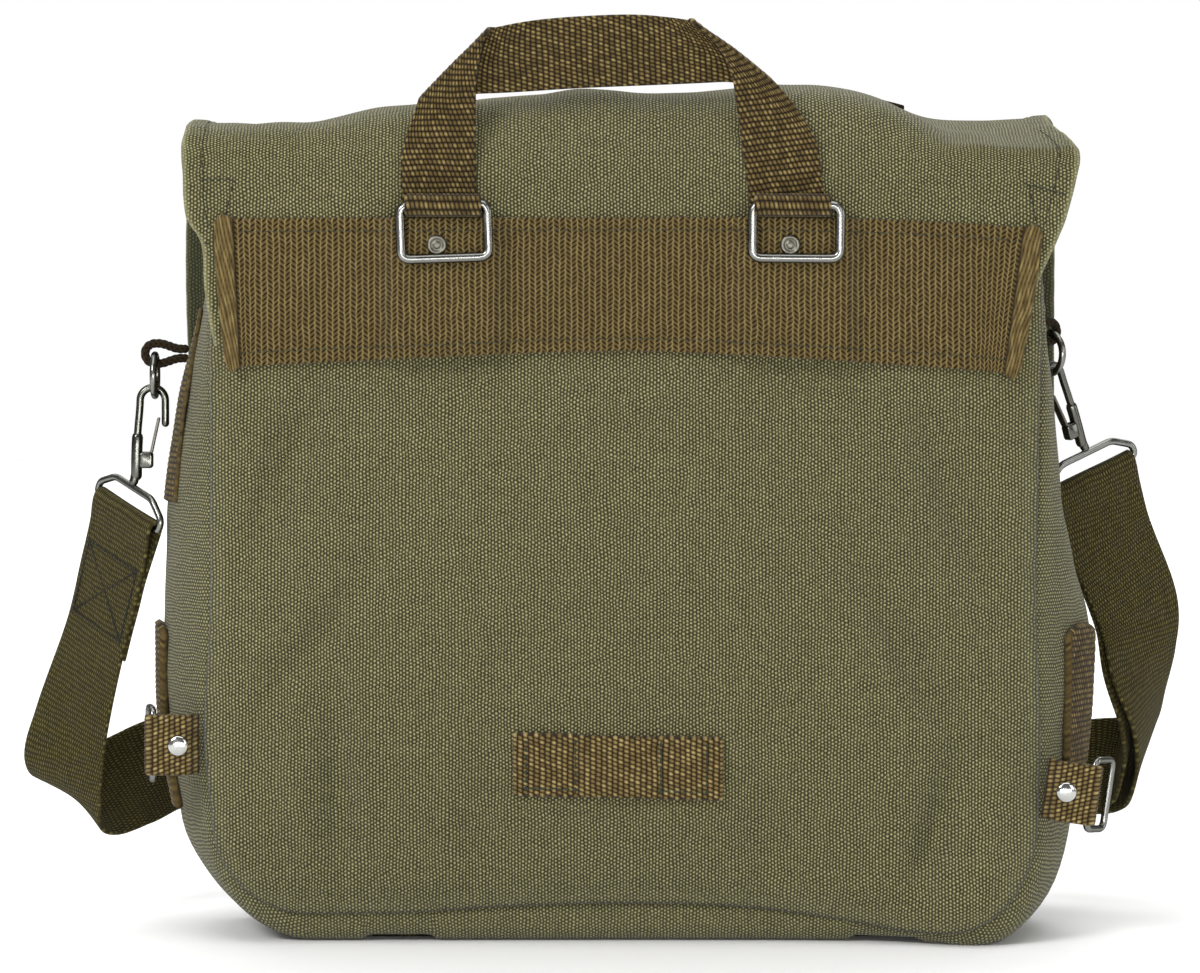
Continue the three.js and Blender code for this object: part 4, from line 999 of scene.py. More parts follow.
def clip_frame(row):
    """A clip's origin and matrix, its hook's origin and matrix, and the height of its ring's top."""
    side, height, turn, swing, _, _ = row
    sign, _, full = SIDES[side]
    x = np.interp(height, [r[0] for r in SIDE_ROWS], [r[full] for r in SIDE_ROWS])
    origin = np.array([x + sign * LAYER, 0, height])
    matrix = spin("z", turn)
    ring_top = CORD_RADIUS - CORD_SPREAD + 0.3 + SIDE_RING_WIRE
    hang = origin + matrix @ np.array([SIDE_RING_X, 0, ring_top - 2 * SIDE_RING_RADIUS])
    return origin, matrix, hang, matrix @ spin("y", -swing), ring_top


def frame_axes(row):
    """Directions of a frame: along its bar, down the strap, and across both."""
    bar = unit(row[4])
    down = np.array(row[5], float)
    down = unit(down - bar * (down @ bar))
    return bar, down, np.cross(bar, down)


def frame_seat(row):
    """Top of a frame, where it hangs in its hook."""
    _, _, hang, matrix, _ = clip_frame(row)
    return hang + matrix @ np.array(FRAME_SEAT)


def roll_route(row, rows, sign):
    """Centres and width directions of webbing over a frame's bar."""
    bar, down, across = frame_axes(row)
    root = frame_seat(row)
    return [(*(root + down * (FRAME_HEIGHT + d) - across * a), *(bar * sign)) for d, a in rows]


def ribbon_lines(route, step):
    """Centres, width directions, normals and lengths along a strap."""
    line, length = spline(route, step)
    centre = line[:, :3]
    run = unit(np.gradient(centre, axis=0))
    width = line[:, 3:]
    width = unit(width - run * np.sum(width * run, -1, keepdims=True))
    return centre, width, np.cross(run, width), length


def ribbon(name, route, offset, seed):
    """Flat strap along a route of centres and width directions."""
    centre, width, normal, length = ribbon_lines(route, 1.3)
    v = np.linspace(-STRAP_WIDTH / 2, STRAP_WIDTH / 2, 21)
    middle = centre + normal * np.asarray(offset(length / length[-1]))[:, None]
    uneven = 0.35 * ripple(length[:, None], 80, seed) + 0.16 * np.sin(length * 2 * math.pi / 2.6)
    spread = v[None] * (1 + uneven[:, None] / 20)
    wave = 0.25 * ripple(stack(length[:, None], 2.0 * v[None]), 55, seed + 1)
    grid = middle[:, None] + width[:, None] * spread[..., None] + normal[:, None] * (STRAP / 2 + wave[..., None])
    made = cloth(name, grid, STRAP, strap_cloth, stack(length[:, None], v[None]), 1, 0.0,
                 {"wear_and_highlight": 0.4 * (np.abs(v) > 18.5)[None]})
    return seat(made, name), middle, length[-1]


left_clip, right_clip = CLIPS
front_layer = roll_route(left_clip, ROLL_ROWS[2:] + [(58, PAIR)], 1) + STRAP_ROUTE
layer_centre, layer_width, layer_normal, layer_length = ribbon_lines(front_layer, 2.0)
roll_end = ROLL * math.pi + 6
tail_places = np.searchsorted(layer_length, roll_end + np.array([SEWN_LENGTH, 40, 28, 16]))
behind = layer_normal[tail_places] * np.sign(layer_normal[tail_places][:, 1:2])
sewn_tail = np.column_stack([layer_centre[tail_places] + behind * (STRAP + 0.25), layer_width[tail_places]])
strap_route = (
    [tuple(r) for r in sewn_tail]
    + roll_route(left_clip, ROLL_ROWS[1:] + [(58, PAIR)], 1)
    + STRAP_ROUTE
    + roll_route(right_clip, ROLL_ROWS[::-1], -1)
)
strap, strap_path, strap_length = ribbon("shoulder_strap", strap_route, lambda s: 0 * s, 3)
return_route = [r for r in STRAP_ROUTE if r[0] >= 60] + roll_route(right_clip, [(32, PAIR), (14, PAIR)], -1)
back_layer, back_path, back_length = ribbon(
    "strap_return", return_route, lambda s: -STRAP - 0.3 - 5 * np.sin(math.pi * s) ** 2, 4)


# Body: two panels and the gusset between them

def corner_arc(side, angle):
    """X and Z of the seam round a lower corner."""
    sign, seam, _ = SIDES[side]
    foot_x = sign * BOTTOM_END
    return stack(mix(foot_x, SIDE_ROWS[0][seam], np.cos(angle)),
                 mix(SIDE_LOW, float(bottom_seam(foot_x)), np.sin(angle)))


def outline_side(side):
    """X and Z of the seam from the bottom's end round the corner and up one side."""
    z = np.linspace(SIDE_LOW, SIDE_TOP, 90)
    corner = corner_arc(side, np.radians(np.linspace(90, 0, 27))[:-1])
    return np.concatenate([corner, stack(along(SIDE_ROWS, SIDES[side][1], z), z)])


LEFT_SEAM, RIGHT_SEAM = outline_side("left"), outline_side("right")
BOTTOM_X = np.linspace(-BOTTOM_END, BOTTOM_END, 90)
SEAM_LINE = np.concatenate([LEFT_SEAM[::-1], stack(BOTTOM_X, bottom_seam(BOTTOM_X))[1:-1], RIGHT_SEAM])


def rim_distance(x, z):
    """Distance from the seam, and the place along it."""
    here = stack(x, z).reshape(-1, 2)
    nearest = np.linalg.norm(here[:, None] - SEAM_LINE[None], axis=-1).argmin(1)
    run = lengths(SEAM_LINE)
    sizes = np.diff(run)
    apart, place = np.full(len(here), 1e9), np.zeros(len(here))
    for back in (0, 1):
        k = np.clip(nearest - back, 0, len(sizes) - 1)
        start, way = SEAM_LINE[k], SEAM_LINE[k + 1] - SEAM_LINE[k]
        t = np.clip(((here - start) * way).sum(1) / sizes[k] ** 2, 0, 1)
        gap = np.linalg.norm(here - start - way * t[:, None], axis=1)
        place = np.where(gap < apart, run[k] + t * sizes[k], place)
        apart = np.minimum(apart, gap)
    return apart.reshape(x.shape), place.reshape(x.shape)


def panel(name, surface, out):
    """Canvas face of the body; out is 1 for the back and -1 for the front."""
    share = np.concatenate([[0, 0.004, 0.009], np.linspace(0.016, 0.984, 118), [0.991, 0.996, 1]])
    left, right = LEFT_SEAM[:, None], RIGHT_SEAM[:, None]
    x = mix(left[..., 0], right[..., 0], share[None])
    level = mix(left[..., 1], right[..., 1], share[None])
    foot = mix(-BOTTOM_END, BOTTOM_END, share)[None]
    flat = mix(float(bottom_seam(-BOTTOM_END)), float(bottom_seam(BOTTOM_END)), share)[None]
    sag = np.clip((135 - level) / (135 - flat), 0, 1) ** 2
    z = level + (bottom_seam(foot) - flat) * sag
    apart, run = rim_distance(x, z)
    place = stack(x, z)
    inside = smooth(apart / 30)
    lift = 0.6 * hill(apart, 14, 8)
    lift += 0.22 * np.sin(run * 2 * math.pi / 9 + 2 * ripple(place, 60, 8)) * hill(apart, 7, 6)
    lift += inside * (0.55 * ripple(place, 75, 21) + 0.22 * ripple(place, 26, 22))
    lift *= np.where(z > 240, np.clip((262 - z) / 22, 0.25, 1), 1)
    lift -= 6.2 * (1 - np.sqrt(1 - np.clip((22 - apart) / 22, 0, 1) ** 2))
    grid = stack(x, surface(x, z) - out * lift, z)
    # lighter towards the seam: wear, and in part a painted highlight on the rolled rim
    rim_wear_and_highlight = 0.3 * hill(apart, 4, 4)
    # painted shade in the seam groove along the panel's rim, stronger low on the bag
    sewn = mix(0.75, 0.45, smooth((z - 60) / 60)) * hill(apart, 0, 0.9)
    seat(cloth(name, grid, CANVAS, canvas, place, -out, 0.0, {"wear_and_highlight": rim_wear_and_highlight, "painted_seam_shade": sewn}), name)


panel("back_panel", back_y, 1)
panel("front_panel", front_y, -1)


def strap_lift(x):
    """How far the bottom straps keep the gusset off the floor."""
    half = CLOSURE_WIDTH / 2 + 0.5
    return np.max([LAYER * smooth(1 - (np.abs(x - c) - half) / 4) for _, c in CLOSURES], 0)


def gusset_lines():
    """Stations round the seam: point, outward direction, bulge."""
    parts = []
    z = np.linspace(SIDE_TOP, SIDE_LOW, 90)
    for side, (sign, seam, full) in SIDES.items():
        edge = stack(along(SIDE_ROWS, seam, z), z)
        way = np.broadcast_to([sign, 0.0], edge.shape)
        bulge = sign * (along(SIDE_ROWS, full, z) - edge[:, 0])
        angle = np.radians(np.linspace(0, 90, 17))[1:-1]
        corner = corner_arc(side, angle)
        swells = [(0, bulge[-1]), (45, CORNER_BULGE[side]), (90, float(bottom_seam(sign * BOTTOM_END)))]
        turned = stack(sign * np.cos(angle), -np.sin(angle))
        parts.append((np.concatenate([edge, corner]), np.concatenate([way, turned]),
                      np.concatenate([bulge, along(swells, 1, np.degrees(angle))])))
    x = np.linspace(-BOTTOM_END, BOTTOM_END, 120)
    seam = bottom_seam(x)
    bottom = (stack(x, seam), np.broadcast_to([0.0, -1.0], (len(x), 2)), seam - strap_lift(x))
    return [np.concatenate([left, low, right[::-1]]) for left, low, right in zip(parts[0], bottom, parts[1])]


seam_points, seam_ways, seam_bulge = gusset_lines()
across = np.concatenate([[0, 0.012, 0.028], np.linspace(0.05, 0.95, 33), [0.972, 0.988, 1]])
run = lengths(seam_points)
depth = GUSSET_HALF * (2 * across - 1)
flatness = np.concatenate([[0, 0.5, 0.85], np.ones(33), [0.85, 0.5, 0]])
upright = np.abs(seam_ways[:, :1]) ** 2
round_share = roundness(across[None], upright)
reach = seam_bulge[:, None] * round_share
reach = reach + back_hump("right", seam_points[:, 1:], depth[None]) * (seam_ways[:, :1] > 0.9)
sway = ripple(stack(run[:, None], depth[None]), 42, 31)
floor_free = smooth((seam_points[:, 1] + seam_ways[:, 1] * seam_bulge - 2) / 25)[:, None]
seam_apart = np.minimum(across, 1 - across)[None] * 97
pucker = np.sin(run * 2 * math.pi / 8.5)[:, None] * hill(seam_apart, 5, 5)
reach = reach + (0.7 * sway * round_share + 0.25 * pucker) * floor_free * flatness[None] - 3.6 * (1 - flatness)
pushed = corner_push(seam_points[:, :1], seam_points[:, 1:]) * (1 - across[None]) ** 2
gusset_grid = stack(
    seam_points[:, None, 0] + seam_ways[:, None, 0] * reach,
    depth[None] - pushed,
    seam_points[:, None, 1] + seam_ways[:, None, 1] * reach,
)
steps = np.linalg.norm(np.diff(gusset_grid, axis=1), axis=-1)
girth = np.concatenate([np.zeros((len(run), 1)), np.cumsum(steps, 1)], 1)
gusset_map = stack(run[:, None], girth - girth[:, -1:] / 2)
edge_apart = np.minimum(girth, girth[:, -1:] - girth)
gusset_masks = {
    # painted shade along the gusset's edges at the seams, stronger and wider under the bottom
    "painted_seam_shade": mix(0.7, 0.5, upright) * np.exp(-(edge_apart / mix(3.4, 2.2, upright)) ** 4),
    # lighter near the seams: wear, and in part a painted highlight
    "wear_and_highlight": 0.3 * hill(seam_apart, 3, 4),
}
seat(cloth("gusset", gusset_grid, CANVAS, canvas, gusset_map, -1, 0.0, gusset_masks), "gusset")


# Flap

# depth: how far the flap's back edge falls in at the right, beyond the filled middle
RIGHT_CHAMFER = [(-60, 1.0), (-51.5, 3.0), (-46, 7.5), (-36, 8.0), (-15, 4.0), (12, 0.5), (40, 0), (70, 0)]


def flap_controls(share):
    """Points of the flap's sections, one row for each section, at shares of its width."""
    sections = []
    for place, y, z, left, right, crown in FLAP_ROWS:
        x = mix(left, right, share)
        if place == "back":
            y, z = back_y(x, z) - FLAP_OUT, z + 0 * x
        elif place == "front":
            y, z = front_y(x, z) + FLAP_FRONT_OUT, z + 0 * x
        else:
            y, z = y + 0 * x, z + crown * along(TOP_LINE, 1, x)
            z = z - along(RIGHT_CHAMFER, 1, y) * smooth((x - 106) / 34)
        sections.append(stack(x, y, z))
    return np.array(sections)


FLAP_KEYS = lengths(flap_controls(np.array([0.5]))[:, 0])
# creases of the flap: start X, Z, end X, Z, height, width
FLAP_CREASES = [
    (108, 347, 156, 328, 2.6, 6),
    (-172, 331, -120, 338, 1.0, 8),
    (-160, 306, -118, 326, -1.0, 10),
    (150, 305, 120, 324, -0.9, 10),
]


def flap_surface(share, fine):
    sections = flap_controls(share)
    flat = through(FLAP_KEYS, sections.reshape(len(sections), -1), fine)
    return flat.reshape(len(fine), *sections.shape[1:])


def flap_piece():
    low, high = np.linspace(0, 0.03, 10), np.linspace(0.97, 1, 10)
    share = np.concatenate([low[:-1], np.linspace(0.03, 0.97, 112), high[1:]])
    end = FLAP_KEYS[-1]
    fine = np.concatenate([np.linspace(0, end - 14, 130), np.linspace(end - 14, end, 12)[1:]])
    grid = flap_surface(share, fine)
    x, y, z = np.moveaxis(grid, -1, 0)
    left, right = x[:, :1], x[:, -1:]
    edge = np.minimum(np.minimum(x - left, right - x), (end - fine)[:, None])
    behind = smooth((-20 - y) / 20)
    lift = 0.7 * smooth((HEM_WIDTH - edge) / 1.5) - 0.45 * hill(edge, HEM_SEAM, 0.9)
    for x0, z0, x1, z1, height, width in FLAP_CREASES:
        squared = (x1 - x0) ** 2 + (z1 - z0) ** 2
        along_line = np.clip(((x - x0) * (x1 - x0) + (z - z0) * (z1 - z0)) / squared, 0, 1)
        apart = np.hypot(x - x0 - along_line * (x1 - x0), z - z0 - along_line * (z1 - z0))
        taper = np.sin(math.pi * np.clip(along_line, 0.06, 0.94))
        lift += behind * height * hill(apart, 0, width) * taper
    free = smooth((z - 300) / 25)
    lift += free * (0.8 * ripple(grid, 60, 41) + 0.3 * ripple(grid, 24, 42))
    lift += (y > 40) * (1 - free) * 0.25 * (1 + ripple(grid, 70, 43))
    hem_wave = 0.3 * np.sin(fine * 2 * math.pi / 11)[:, None] * hill(edge, 4, 5)
    normals = grid_normals(grid)
    outward = np.sign(np.sum(normals * stack(0 * x, y, z - 250), -1).mean())
    grid = grid + normals * outward * (lift + hem_wave)[..., None]
    thick = CANVAS + 0.9 * smooth((HEM_WIDTH - edge) / 1.5) * smooth((z - 318) / 8)
    # the flap's edge is lightened: wear, and a painted highlight along the thin edge
    made = cloth("flap", grid, thick, canvas, stack(x, fine[:, None]), outward, 0.0,
                 {"wear_and_highlight": smooth((2.5 - edge) / 2.5)}, edge=0.45)
    return seat(made, "flap")


flap = flap_piece()


# Wide band over the seam of the flap

def band_step(x, z):
    near = np.min([np.abs(x - ring[1]) for ring in HANDLE_RINGS], 0)
    low = np.clip(1 - 0.75 * (249 - z) / 15, 0, 1)
    return smooth((BAND_STEP_FOOT - near) / (BAND_STEP_FOOT - BAND_STEP_HALF)) * low


def band_inner_y(x, z):
    return mix(back_y(x, z) - 2 * GAP - CANVAS, BAND_STEP_Y, band_step(x, z))


def band_point(u, share):
    """X and Z of the band at a place along it and a share of its width."""
    slant = BAND_SLANT * (1 - share) * smooth((u - 140) / 32)
    z = mix(along(BAND_EDGES, 2, u), along(BAND_EDGES, 1, u), share)
    return u - slant, z


def band_piece():
    u = np.linspace(BAND_LEFT, BAND_RIGHT, 601)[:, None]
    share = np.linspace(0, 1, 117)[None, :]
    end = np.minimum(u - BAND_LEFT, BAND_RIGHT - u)
    corner = hill(end, 0, 6)
    x, z = band_point(u, share)
    z = z + corner * (1.6 * smooth((share - 0.8) / 0.2) - 2.2 * smooth((0.2 - share) / 0.2))
    outer = smooth((np.abs(2 * share - 1) - 0.84) / 0.16) * np.sign(2 * share - 1)
    z = z - 2.6 * outer * (1 - np.sqrt(1 - np.clip((4.5 - end) / 4.5, 0, 1) ** 2))
    x = x + LEFT_SLANT * (1 - share) * smooth((-150 - u) / 19)
    x = x + np.sign(u) * 1.5 * hill(end, 0, 3) * (np.sin(math.pi * share) ** 0.5 - 1)
    u, v, end = np.broadcast_arrays(u, share * BAND_WIDTH, end)
    place = stack(u, v)
    woven_uv = wander(u, v, 61)
    high = chevrons(*woven_uv)
    turned = smooth((10.0 - end) / 1.0)
    strand = (end + 0.20 * v) / 1.75 + 0.25 * ripple(place, 18, 63)
    yarn = np.sin(math.pi * (strand - np.floor(strand))) ** 0.7
    ribs = (0.30 + 0.70 * yarn) * (0.86 + 0.14 * ripple(stack(3 * u, v), 7, 64))
    # painted shade: a dark line in the weave where the turned end steps down, which also sinks the relief there
    ribs = ribs * (1 - 0.85 * hill(end, 9.3, 0.6))
    high = mix(high, ribs, turned)
    lift = WEBBING + 2.3 * turned * np.sqrt(np.clip(1 - ((end - 4.4) / 5.2) ** 2, 0.04, 1))
    groove = np.minimum(np.abs(v - BAND_SEAM), np.abs(v - BAND_WIDTH + BAND_SEAM))
    lift = lift - 0.35 * hill(groove, 0, 1.1) * (1 - turned)
    lift = lift + 0.3 * ripple(place, 40, 62) - 0.2
    grid = stack(x, band_inner_y(x, z) - lift, z)
    made = cloth("back_band", grid, np.maximum(lift, 0.9), band_trim, stack(*woven_uv), 1,
                 (high - BEAD_MIDDLE) * 0.7, {"weave": high, "own": turned}, coarse=4)
    seat(made, "back_band")


band_piece()


# Handle, tabs and loops of webbing

strip("handle", HANDLE_WIDTH, HANDLE_LENGTH, HANDLE_BENDS, 0.56, 71, HANDLE_ROOT, pulls=HANDLE_PULLS)
for side, _, _, _, tab_x in HANDLE_RINGS:
    strip(f"ring_tab_{side}", HANDLE_WIDTH, RING_TAB_LENGTH, TAB_BENDS, 0.5, 72, (tab_x, RING_TAB_Y, RING_TAB_Z))
for side, tab_x, tab_z, tab_turn, _ in SIDE_TABS:
    strip(f"side_tab_{side}", SIDE_TAB_WIDTH, SIDE_TAB_LENGTH, SIDE_TAB_BENDS, 0.5, 73, (tab_x, TAB_Y, tab_z),
          spin("y", tab_turn), SIDE_TAB_ROOT, finish=loop_trim, tuck=5.6)


def loop_place(u, v):
    """X, Z, share of looseness and height over the back at a place on the belt loop."""
    free = 1 - smooth((np.abs(u) - 16) / 4)
    return u + LOOP_X, LOOP_Z - u / LOOP_HALF + v, free, mix(GAP + 2 * WEBBING, GAP + 3.75, free)


def belt_loop():
    """Loop low on the back: doubled and sewn at its ends, free in the middle."""
    u, v = np.broadcast_arrays(np.linspace(-LOOP_HALF, LOOP_HALF, 161)[:, None],
                               np.linspace(-LOOP_HALF_WIDE, LOOP_HALF_WIDE, 53)[None])
    x, z, free, outer = loop_place(u, v)
    for line in LOOP_SEAMS:
        outer = outer - 0.45 * hill(u, line, 1.1)
    outer = outer + 0.25 * ripple(stack(u, v), 30, 81)
    grid = stack(x, back_y(x, z) - outer, z)
    sewn_webbing("belt_loop", grid, mix(2 * WEBBING, 1.7, free), loop_trim, u, v, 82, 1, coarse=4)


belt_loop()


def side_strip(name, side, y0, width, low, high_end, thick, seed, rounded):
    """Webbing sewn flat on the gusset."""
    sign = SIDES[side][0]
    z = np.linspace(low, high_end, int((high_end - low) / 0.6) // 4 * 4 + 1)[:, None]
    v = np.linspace(-width / 2, width / 2, int(width / 0.5) // 4 * 4 + 1)[None, :]
    inset = rounded * (1 - np.sqrt(np.clip(1 - (v / (width / 2)) ** 2, 0, 1)))
    zz = low + (z - low) * (high_end - inset - low) / (high_end - low)
    u, v = zz + 0 * v, v + 0 * zz
    lift = GAP + thick + 0.15 * ripple(stack(u, v), 30, seed)
    grid = stack(side_x(side, u, y0 + v) + sign * lift, y0 + v, u)
    masks = {"own": smooth((1.3 - (width / 2 - np.abs(v))) / 0.7),
             "weave": 0.66 + 0.12 * ripple(stack(u, v), 2.2, seed + 3)}
    sewn_webbing(name, grid, thick, trim, u, v, seed, -sign, masks=masks, coarse=4)


for side, webbing_y, tongue_y in SIDE_STRIP_Y:
    side_strip(f"side_webbing_{side}", side, webbing_y, *SIDE_WEBBING)
    side_strip(f"side_tongue_{side}", side, tongue_y, *SIDE_TONGUE)


# Closures on the front

def offset_line(line, distance):
    """Line of (y, z) points moved to the left of its direction."""
    run = unit(np.gradient(line, axis=0))
    return line + stack(-run[:, 1], run[:, 0]) * distance


def strap_on(name, xs, lines, width, out, seed):
    """Webbing between two side lines in the YZ plane, its outer face on them."""
    fine = [spline(np.column_stack([line, np.zeros(len(line))]), 1.0)[0][:, :2] for line in lines]
    count = min(len(f) for f in fine)
    rows = [f[np.linspace(0, len(f) - 1, count).round().astype(int)] for f in fine]
    share = np.linspace(0, 1, 24)
    yz = mix(rows[0][:, None], rows[1][:, None], share[None, :, None])
    u, v = np.broadcast_arrays(np.arange(count)[:, None] * 1.0, (share * width)[None])
    grid = stack(mix(xs[0], xs[1], share)[None], yz[..., 0], yz[..., 1])
    sewn_webbing(name, grid, WEBBING, trim, u, v, seed, out, 0.35)


def front_at(x, z):
    return float(front_y(np.array(x), float(z)))


def hem_y(x):
    return front_at(x, FLAP_ROWS[-1][2]) + FLAP_FRONT_OUT


for side, middle_x in CLOSURES:
    xs = (middle_x - CLOSURE_WIDTH / 2, middle_x + CLOSURE_WIDTH / 2)
    lines = []
    for x in xs:
        on_flap = []
        for place, y, z, _, _, crown in FLAP_ROWS[FLAP_TOP_FRONT_ROW:]:
            if place == "front":
                on_flap.append((front_at(x, z) + FLAP_FRONT_OUT, z))
            else:
                on_flap.append((y, z + crown * float(along(TOP_LINE, 1, x))))
        base = np.array(on_flap + [(hem_y(middle_x) + out, z) for z, out in CLOSURE_TAIL], float)
        raised = offset_line(base, LAYER + 1.0)
        raised[0, 1] += CLOSURE_CURL[side]
        lines.append(raised)
    strap_on(f"closure_strap_{side}", xs, lines, CLOSURE_WIDTH, -1, 95)

    bar_y, bar_z, roll = hem_y(middle_x) + BUCKLE_OUT, BUCKLE_Z - BUCKLE_TALL, BUCKLE_WIRE + LAYER
    lines = []
    for x in xs:
        seam = float(bottom_seam(x))
        t = np.array(UNDER_SHARES)
        under = stack(UNDER_HALF * (2 * t - 1), seam - (seam - LAYER) * roundness(t, 0.0))
        rise = np.array([(front_at(x, z), z) for z in (seam, *RISE_HEIGHTS)])
        base = offset_line(np.concatenate([under, rise]), -LAYER)
        base[:3, 1] = np.maximum(base[:3, 1], 0.02)
        angle = np.radians(BAR_TURN)
        turned = stack(bar_y + roll * np.cos(angle), bar_z + roll * np.sin(angle))
        tail = [(mix(front_at(x, z) + 2 * LAYER + 0.4, bar_y + roll, s), z) for z, s in BOTTOM_TAIL]
        lines.append(np.concatenate([base, turned, tail]))
    strap_on(f"bottom_strap_{side}", xs, lines, CLOSURE_WIDTH, 1, 96)


# Wire pieces

# rivet heads: radius and height pairs from the rim to the middle
RIVET_RADIUS = 4.2
DOME_HEAD = [(RIVET_RADIUS * math.sin(a), -0.35 - 1.35 * math.cos(a)) for a in np.radians(np.linspace(80, 10, 8))]
EYELET_HEAD = [
    (4.1, -0.6), (3.7, -1.0), (3.1, -1.15), (2.6, -0.95), (2.3, -0.6), (1.9, -0.5), (1.6, -0.75), (1.1, -1.0),
    (0.5, -1.08),
]


def rivet(name, place, finish, head, matrix=None):
    """Round rivet head with a thin rim."""
    profile = [(0.05, 0), (RIVET_RADIUS - 0.3, 0), (RIVET_RADIUS, -0.12)] + head + [(0.05, head[-1][1] - 0.01)]
    metal_piece(name, [lathe(profile)], finish, matrix, place)


def ring_loop(half_wide, low, high, bend, radius, sides):
    """Rectangular ring of wire."""
    corners = [(-half_wide, low), (half_wide, low), (half_wide, high), (-half_wide, high)]
    return wire(rounded_loop(corners, bend), radius, sides, True)


for side, ring_x, tilt, rivet_x, _ in HANDLE_RINGS:
    name = f"handle_ring_{side}"
    metal_piece(name, [ring_loop(*HANDLE_RING)], nickel, spin("y", tilt),
                (ring_x, HANDLE_RING_Y, HANDLE_RING_Z), name)
    rivet(f"band_rivet_{side}", (rivet_x, BAND_STEP_Y - WEBBING - GAP, RIVET_Z), worn_steel, EYELET_HEAD)

for side, x, z, turn, ring_turn in SIDE_TABS:
    name = f"side_tab_ring_{side}"
    matrix = spin("y", turn)
    root = np.array([x, TAB_Y, z])
    metal_piece(name, [ring_loop(*TAB_RING)], nickel, matrix @ spin("x", ring_turn),
                root + matrix @ np.array([0, 1.9, 23]), name)
    rivet(f"side_rivet_{side}", root + matrix @ np.array([0, -WEBBING - GAP, 12.5]), bright_dome, DOME_HEAD, matrix)


# braided cord: crossings along it and round it, facets, length and girth of its cloth
BRAID_ALONG, BRAID_ROUND = 18, 4
CORD_SIDES, CORD_LENGTH, CORD_GIRTH = 24, 40, 12


def braid(share, turn):
    """Relief of a round braid by share of the length and of the turn."""
    a = np.sin((share * BRAID_ALONG + turn * BRAID_ROUND) * math.pi)
    b = np.sin((share * BRAID_ALONG - turn * BRAID_ROUND) * math.pi)
    return 0.5 * (np.maximum(np.abs(a), np.abs(b)) - 0.85)


def cord_loop(side, origin, matrix):
    """Braided cord out of the webbing, round a bow and back in."""
    angle = np.radians(np.linspace(90, -90, 24))
    bow = stack(CORD_REACH + CORD_SPREAD * np.cos(angle), 0.0, CORD_SPREAD * np.sin(angle))
    run_in = np.linspace(CORD_RADIUS, 14, 24)
    lead = stack(run_in, 0.0, 1.95 + 2.3 * smooth((run_in - 3.5) / 9.5))
    tail = lead[::-1] * [1, 1, -1]
    points, quads, ngons = wire(np.concatenate([lead, bow, tail]), CORD_RADIUS - 0.05, CORD_SIDES, False, braid)
    rings = len(points) // CORD_SIDES
    share = np.repeat(np.linspace(0, 1, rings), CORD_SIDES)
    turn = np.tile(np.arange(CORD_SIDES) / CORD_SIDES, rings)
    high = braid(share, turn) / 0.5 + 0.25
    name = f"cord_loop_{side}"
    made = build(name, points @ matrix.T + origin, quads, cord_cloth, stack(share * CORD_LENGTH, turn * CORD_GIRTH),
                 {"weave": high, "own": 1 + 0 * high}, ngons)
    seat(made, name)


def rounded_block(low, high, bevel):
    """Closed block with rounded edges."""
    low, high = np.asarray(low, float), np.asarray(high, float)
    corners = [(low[0], low[2]), (high[0], low[2]), (high[0], high[2]), (low[0], high[2])]
    middle = (low + high) / 2
    rings = []
    for depth, inset in ((0.05, bevel), (0.3 * bevel, 0.35 * bevel), (bevel, 0.0)):
        loop = rounded_loop(corners, bevel * 1.6, 5, 50.0)
        scale = 1 - inset / (np.asarray([high[0] - low[0], 1, high[2] - low[2]]) / 2)
        rings.append((low[1] + depth, middle + (loop - middle) * scale))
    rings = [(low[1] + high[1] - y, r) for y, r in rings] + rings[::-1]
    return drum(np.array([stack(r[:, 0], y, r[:, 2]) for y, r in rings]))


# hook below its ring, as X and Z: radius of the arch, wire from tip to shank, sleeve, neck, leaf of the gate
ARCH_RADIUS, ARCH_X, ARCH_Z = 5.3, 1, -1.9
TIP_LOW, TIP_HIGH = -11.6, -2.6
SHANK = [(6.35, -3.5), (6.6, -7), (7.1, -12), (7.6, -18), (7.9, -24)]
SLEEVE = [(7.5, -17.5), (7.7, -21), (7.9, -27), (8.0, -33.5)]
NECK = [(8.2, -31.0), (8.8, -35.0), (9.2, -36.3)]
LEAF = [(1.7, -24.2), (-1.6, -9.2)]


def upright_line(rows):
    x, z = np.array(rows, float).T
    return stack(x, 0.0, z)


def snap_hook(side, hang, matrix):
    """Hook bent from wire with its sleeve, and the leaf of its gate."""
    angle = np.radians(np.linspace(180, 0, 18))
    arch = stack(ARCH_X + ARCH_RADIUS * np.cos(angle), 0.0, ARCH_Z + ARCH_RADIUS * np.sin(angle))
    tip = stack(ARCH_X - ARCH_RADIUS, 0.0, np.linspace(TIP_LOW, TIP_HIGH, 8))
    bent = wire(np.concatenate([tip, arch, upright_line(SHANK)]), 1.6, 16)
    sleeve = wire(upright_line(SLEEVE), 2.35, 20)
    neck = wire(upright_line(NECK), 1.9, 18)
    leaf_root = rounded_block((0.9, -2.4, -30.5), (6.8, 2.4, -23.6), 0.9)
    metal_piece(f"snap_hook_{side}", [bent, sleeve, neck, leaf_root], dark_nickel, matrix, hang)
    start, end = upright_line(LEAF)
    way = unit(end - start)
    turn = np.stack([np.cross([0, 1, 0], way), [0, 1, 0], way], -1)
    leaf = rounded_block((-0.55, -2, 0.2), (0.55, 2, float(np.linalg.norm(end - start))), 0.3)
    name = f"hook_gate_{side}"
    metal_piece(name, [leaf], dull_steel, matrix @ turn, hang + matrix @ start, name)


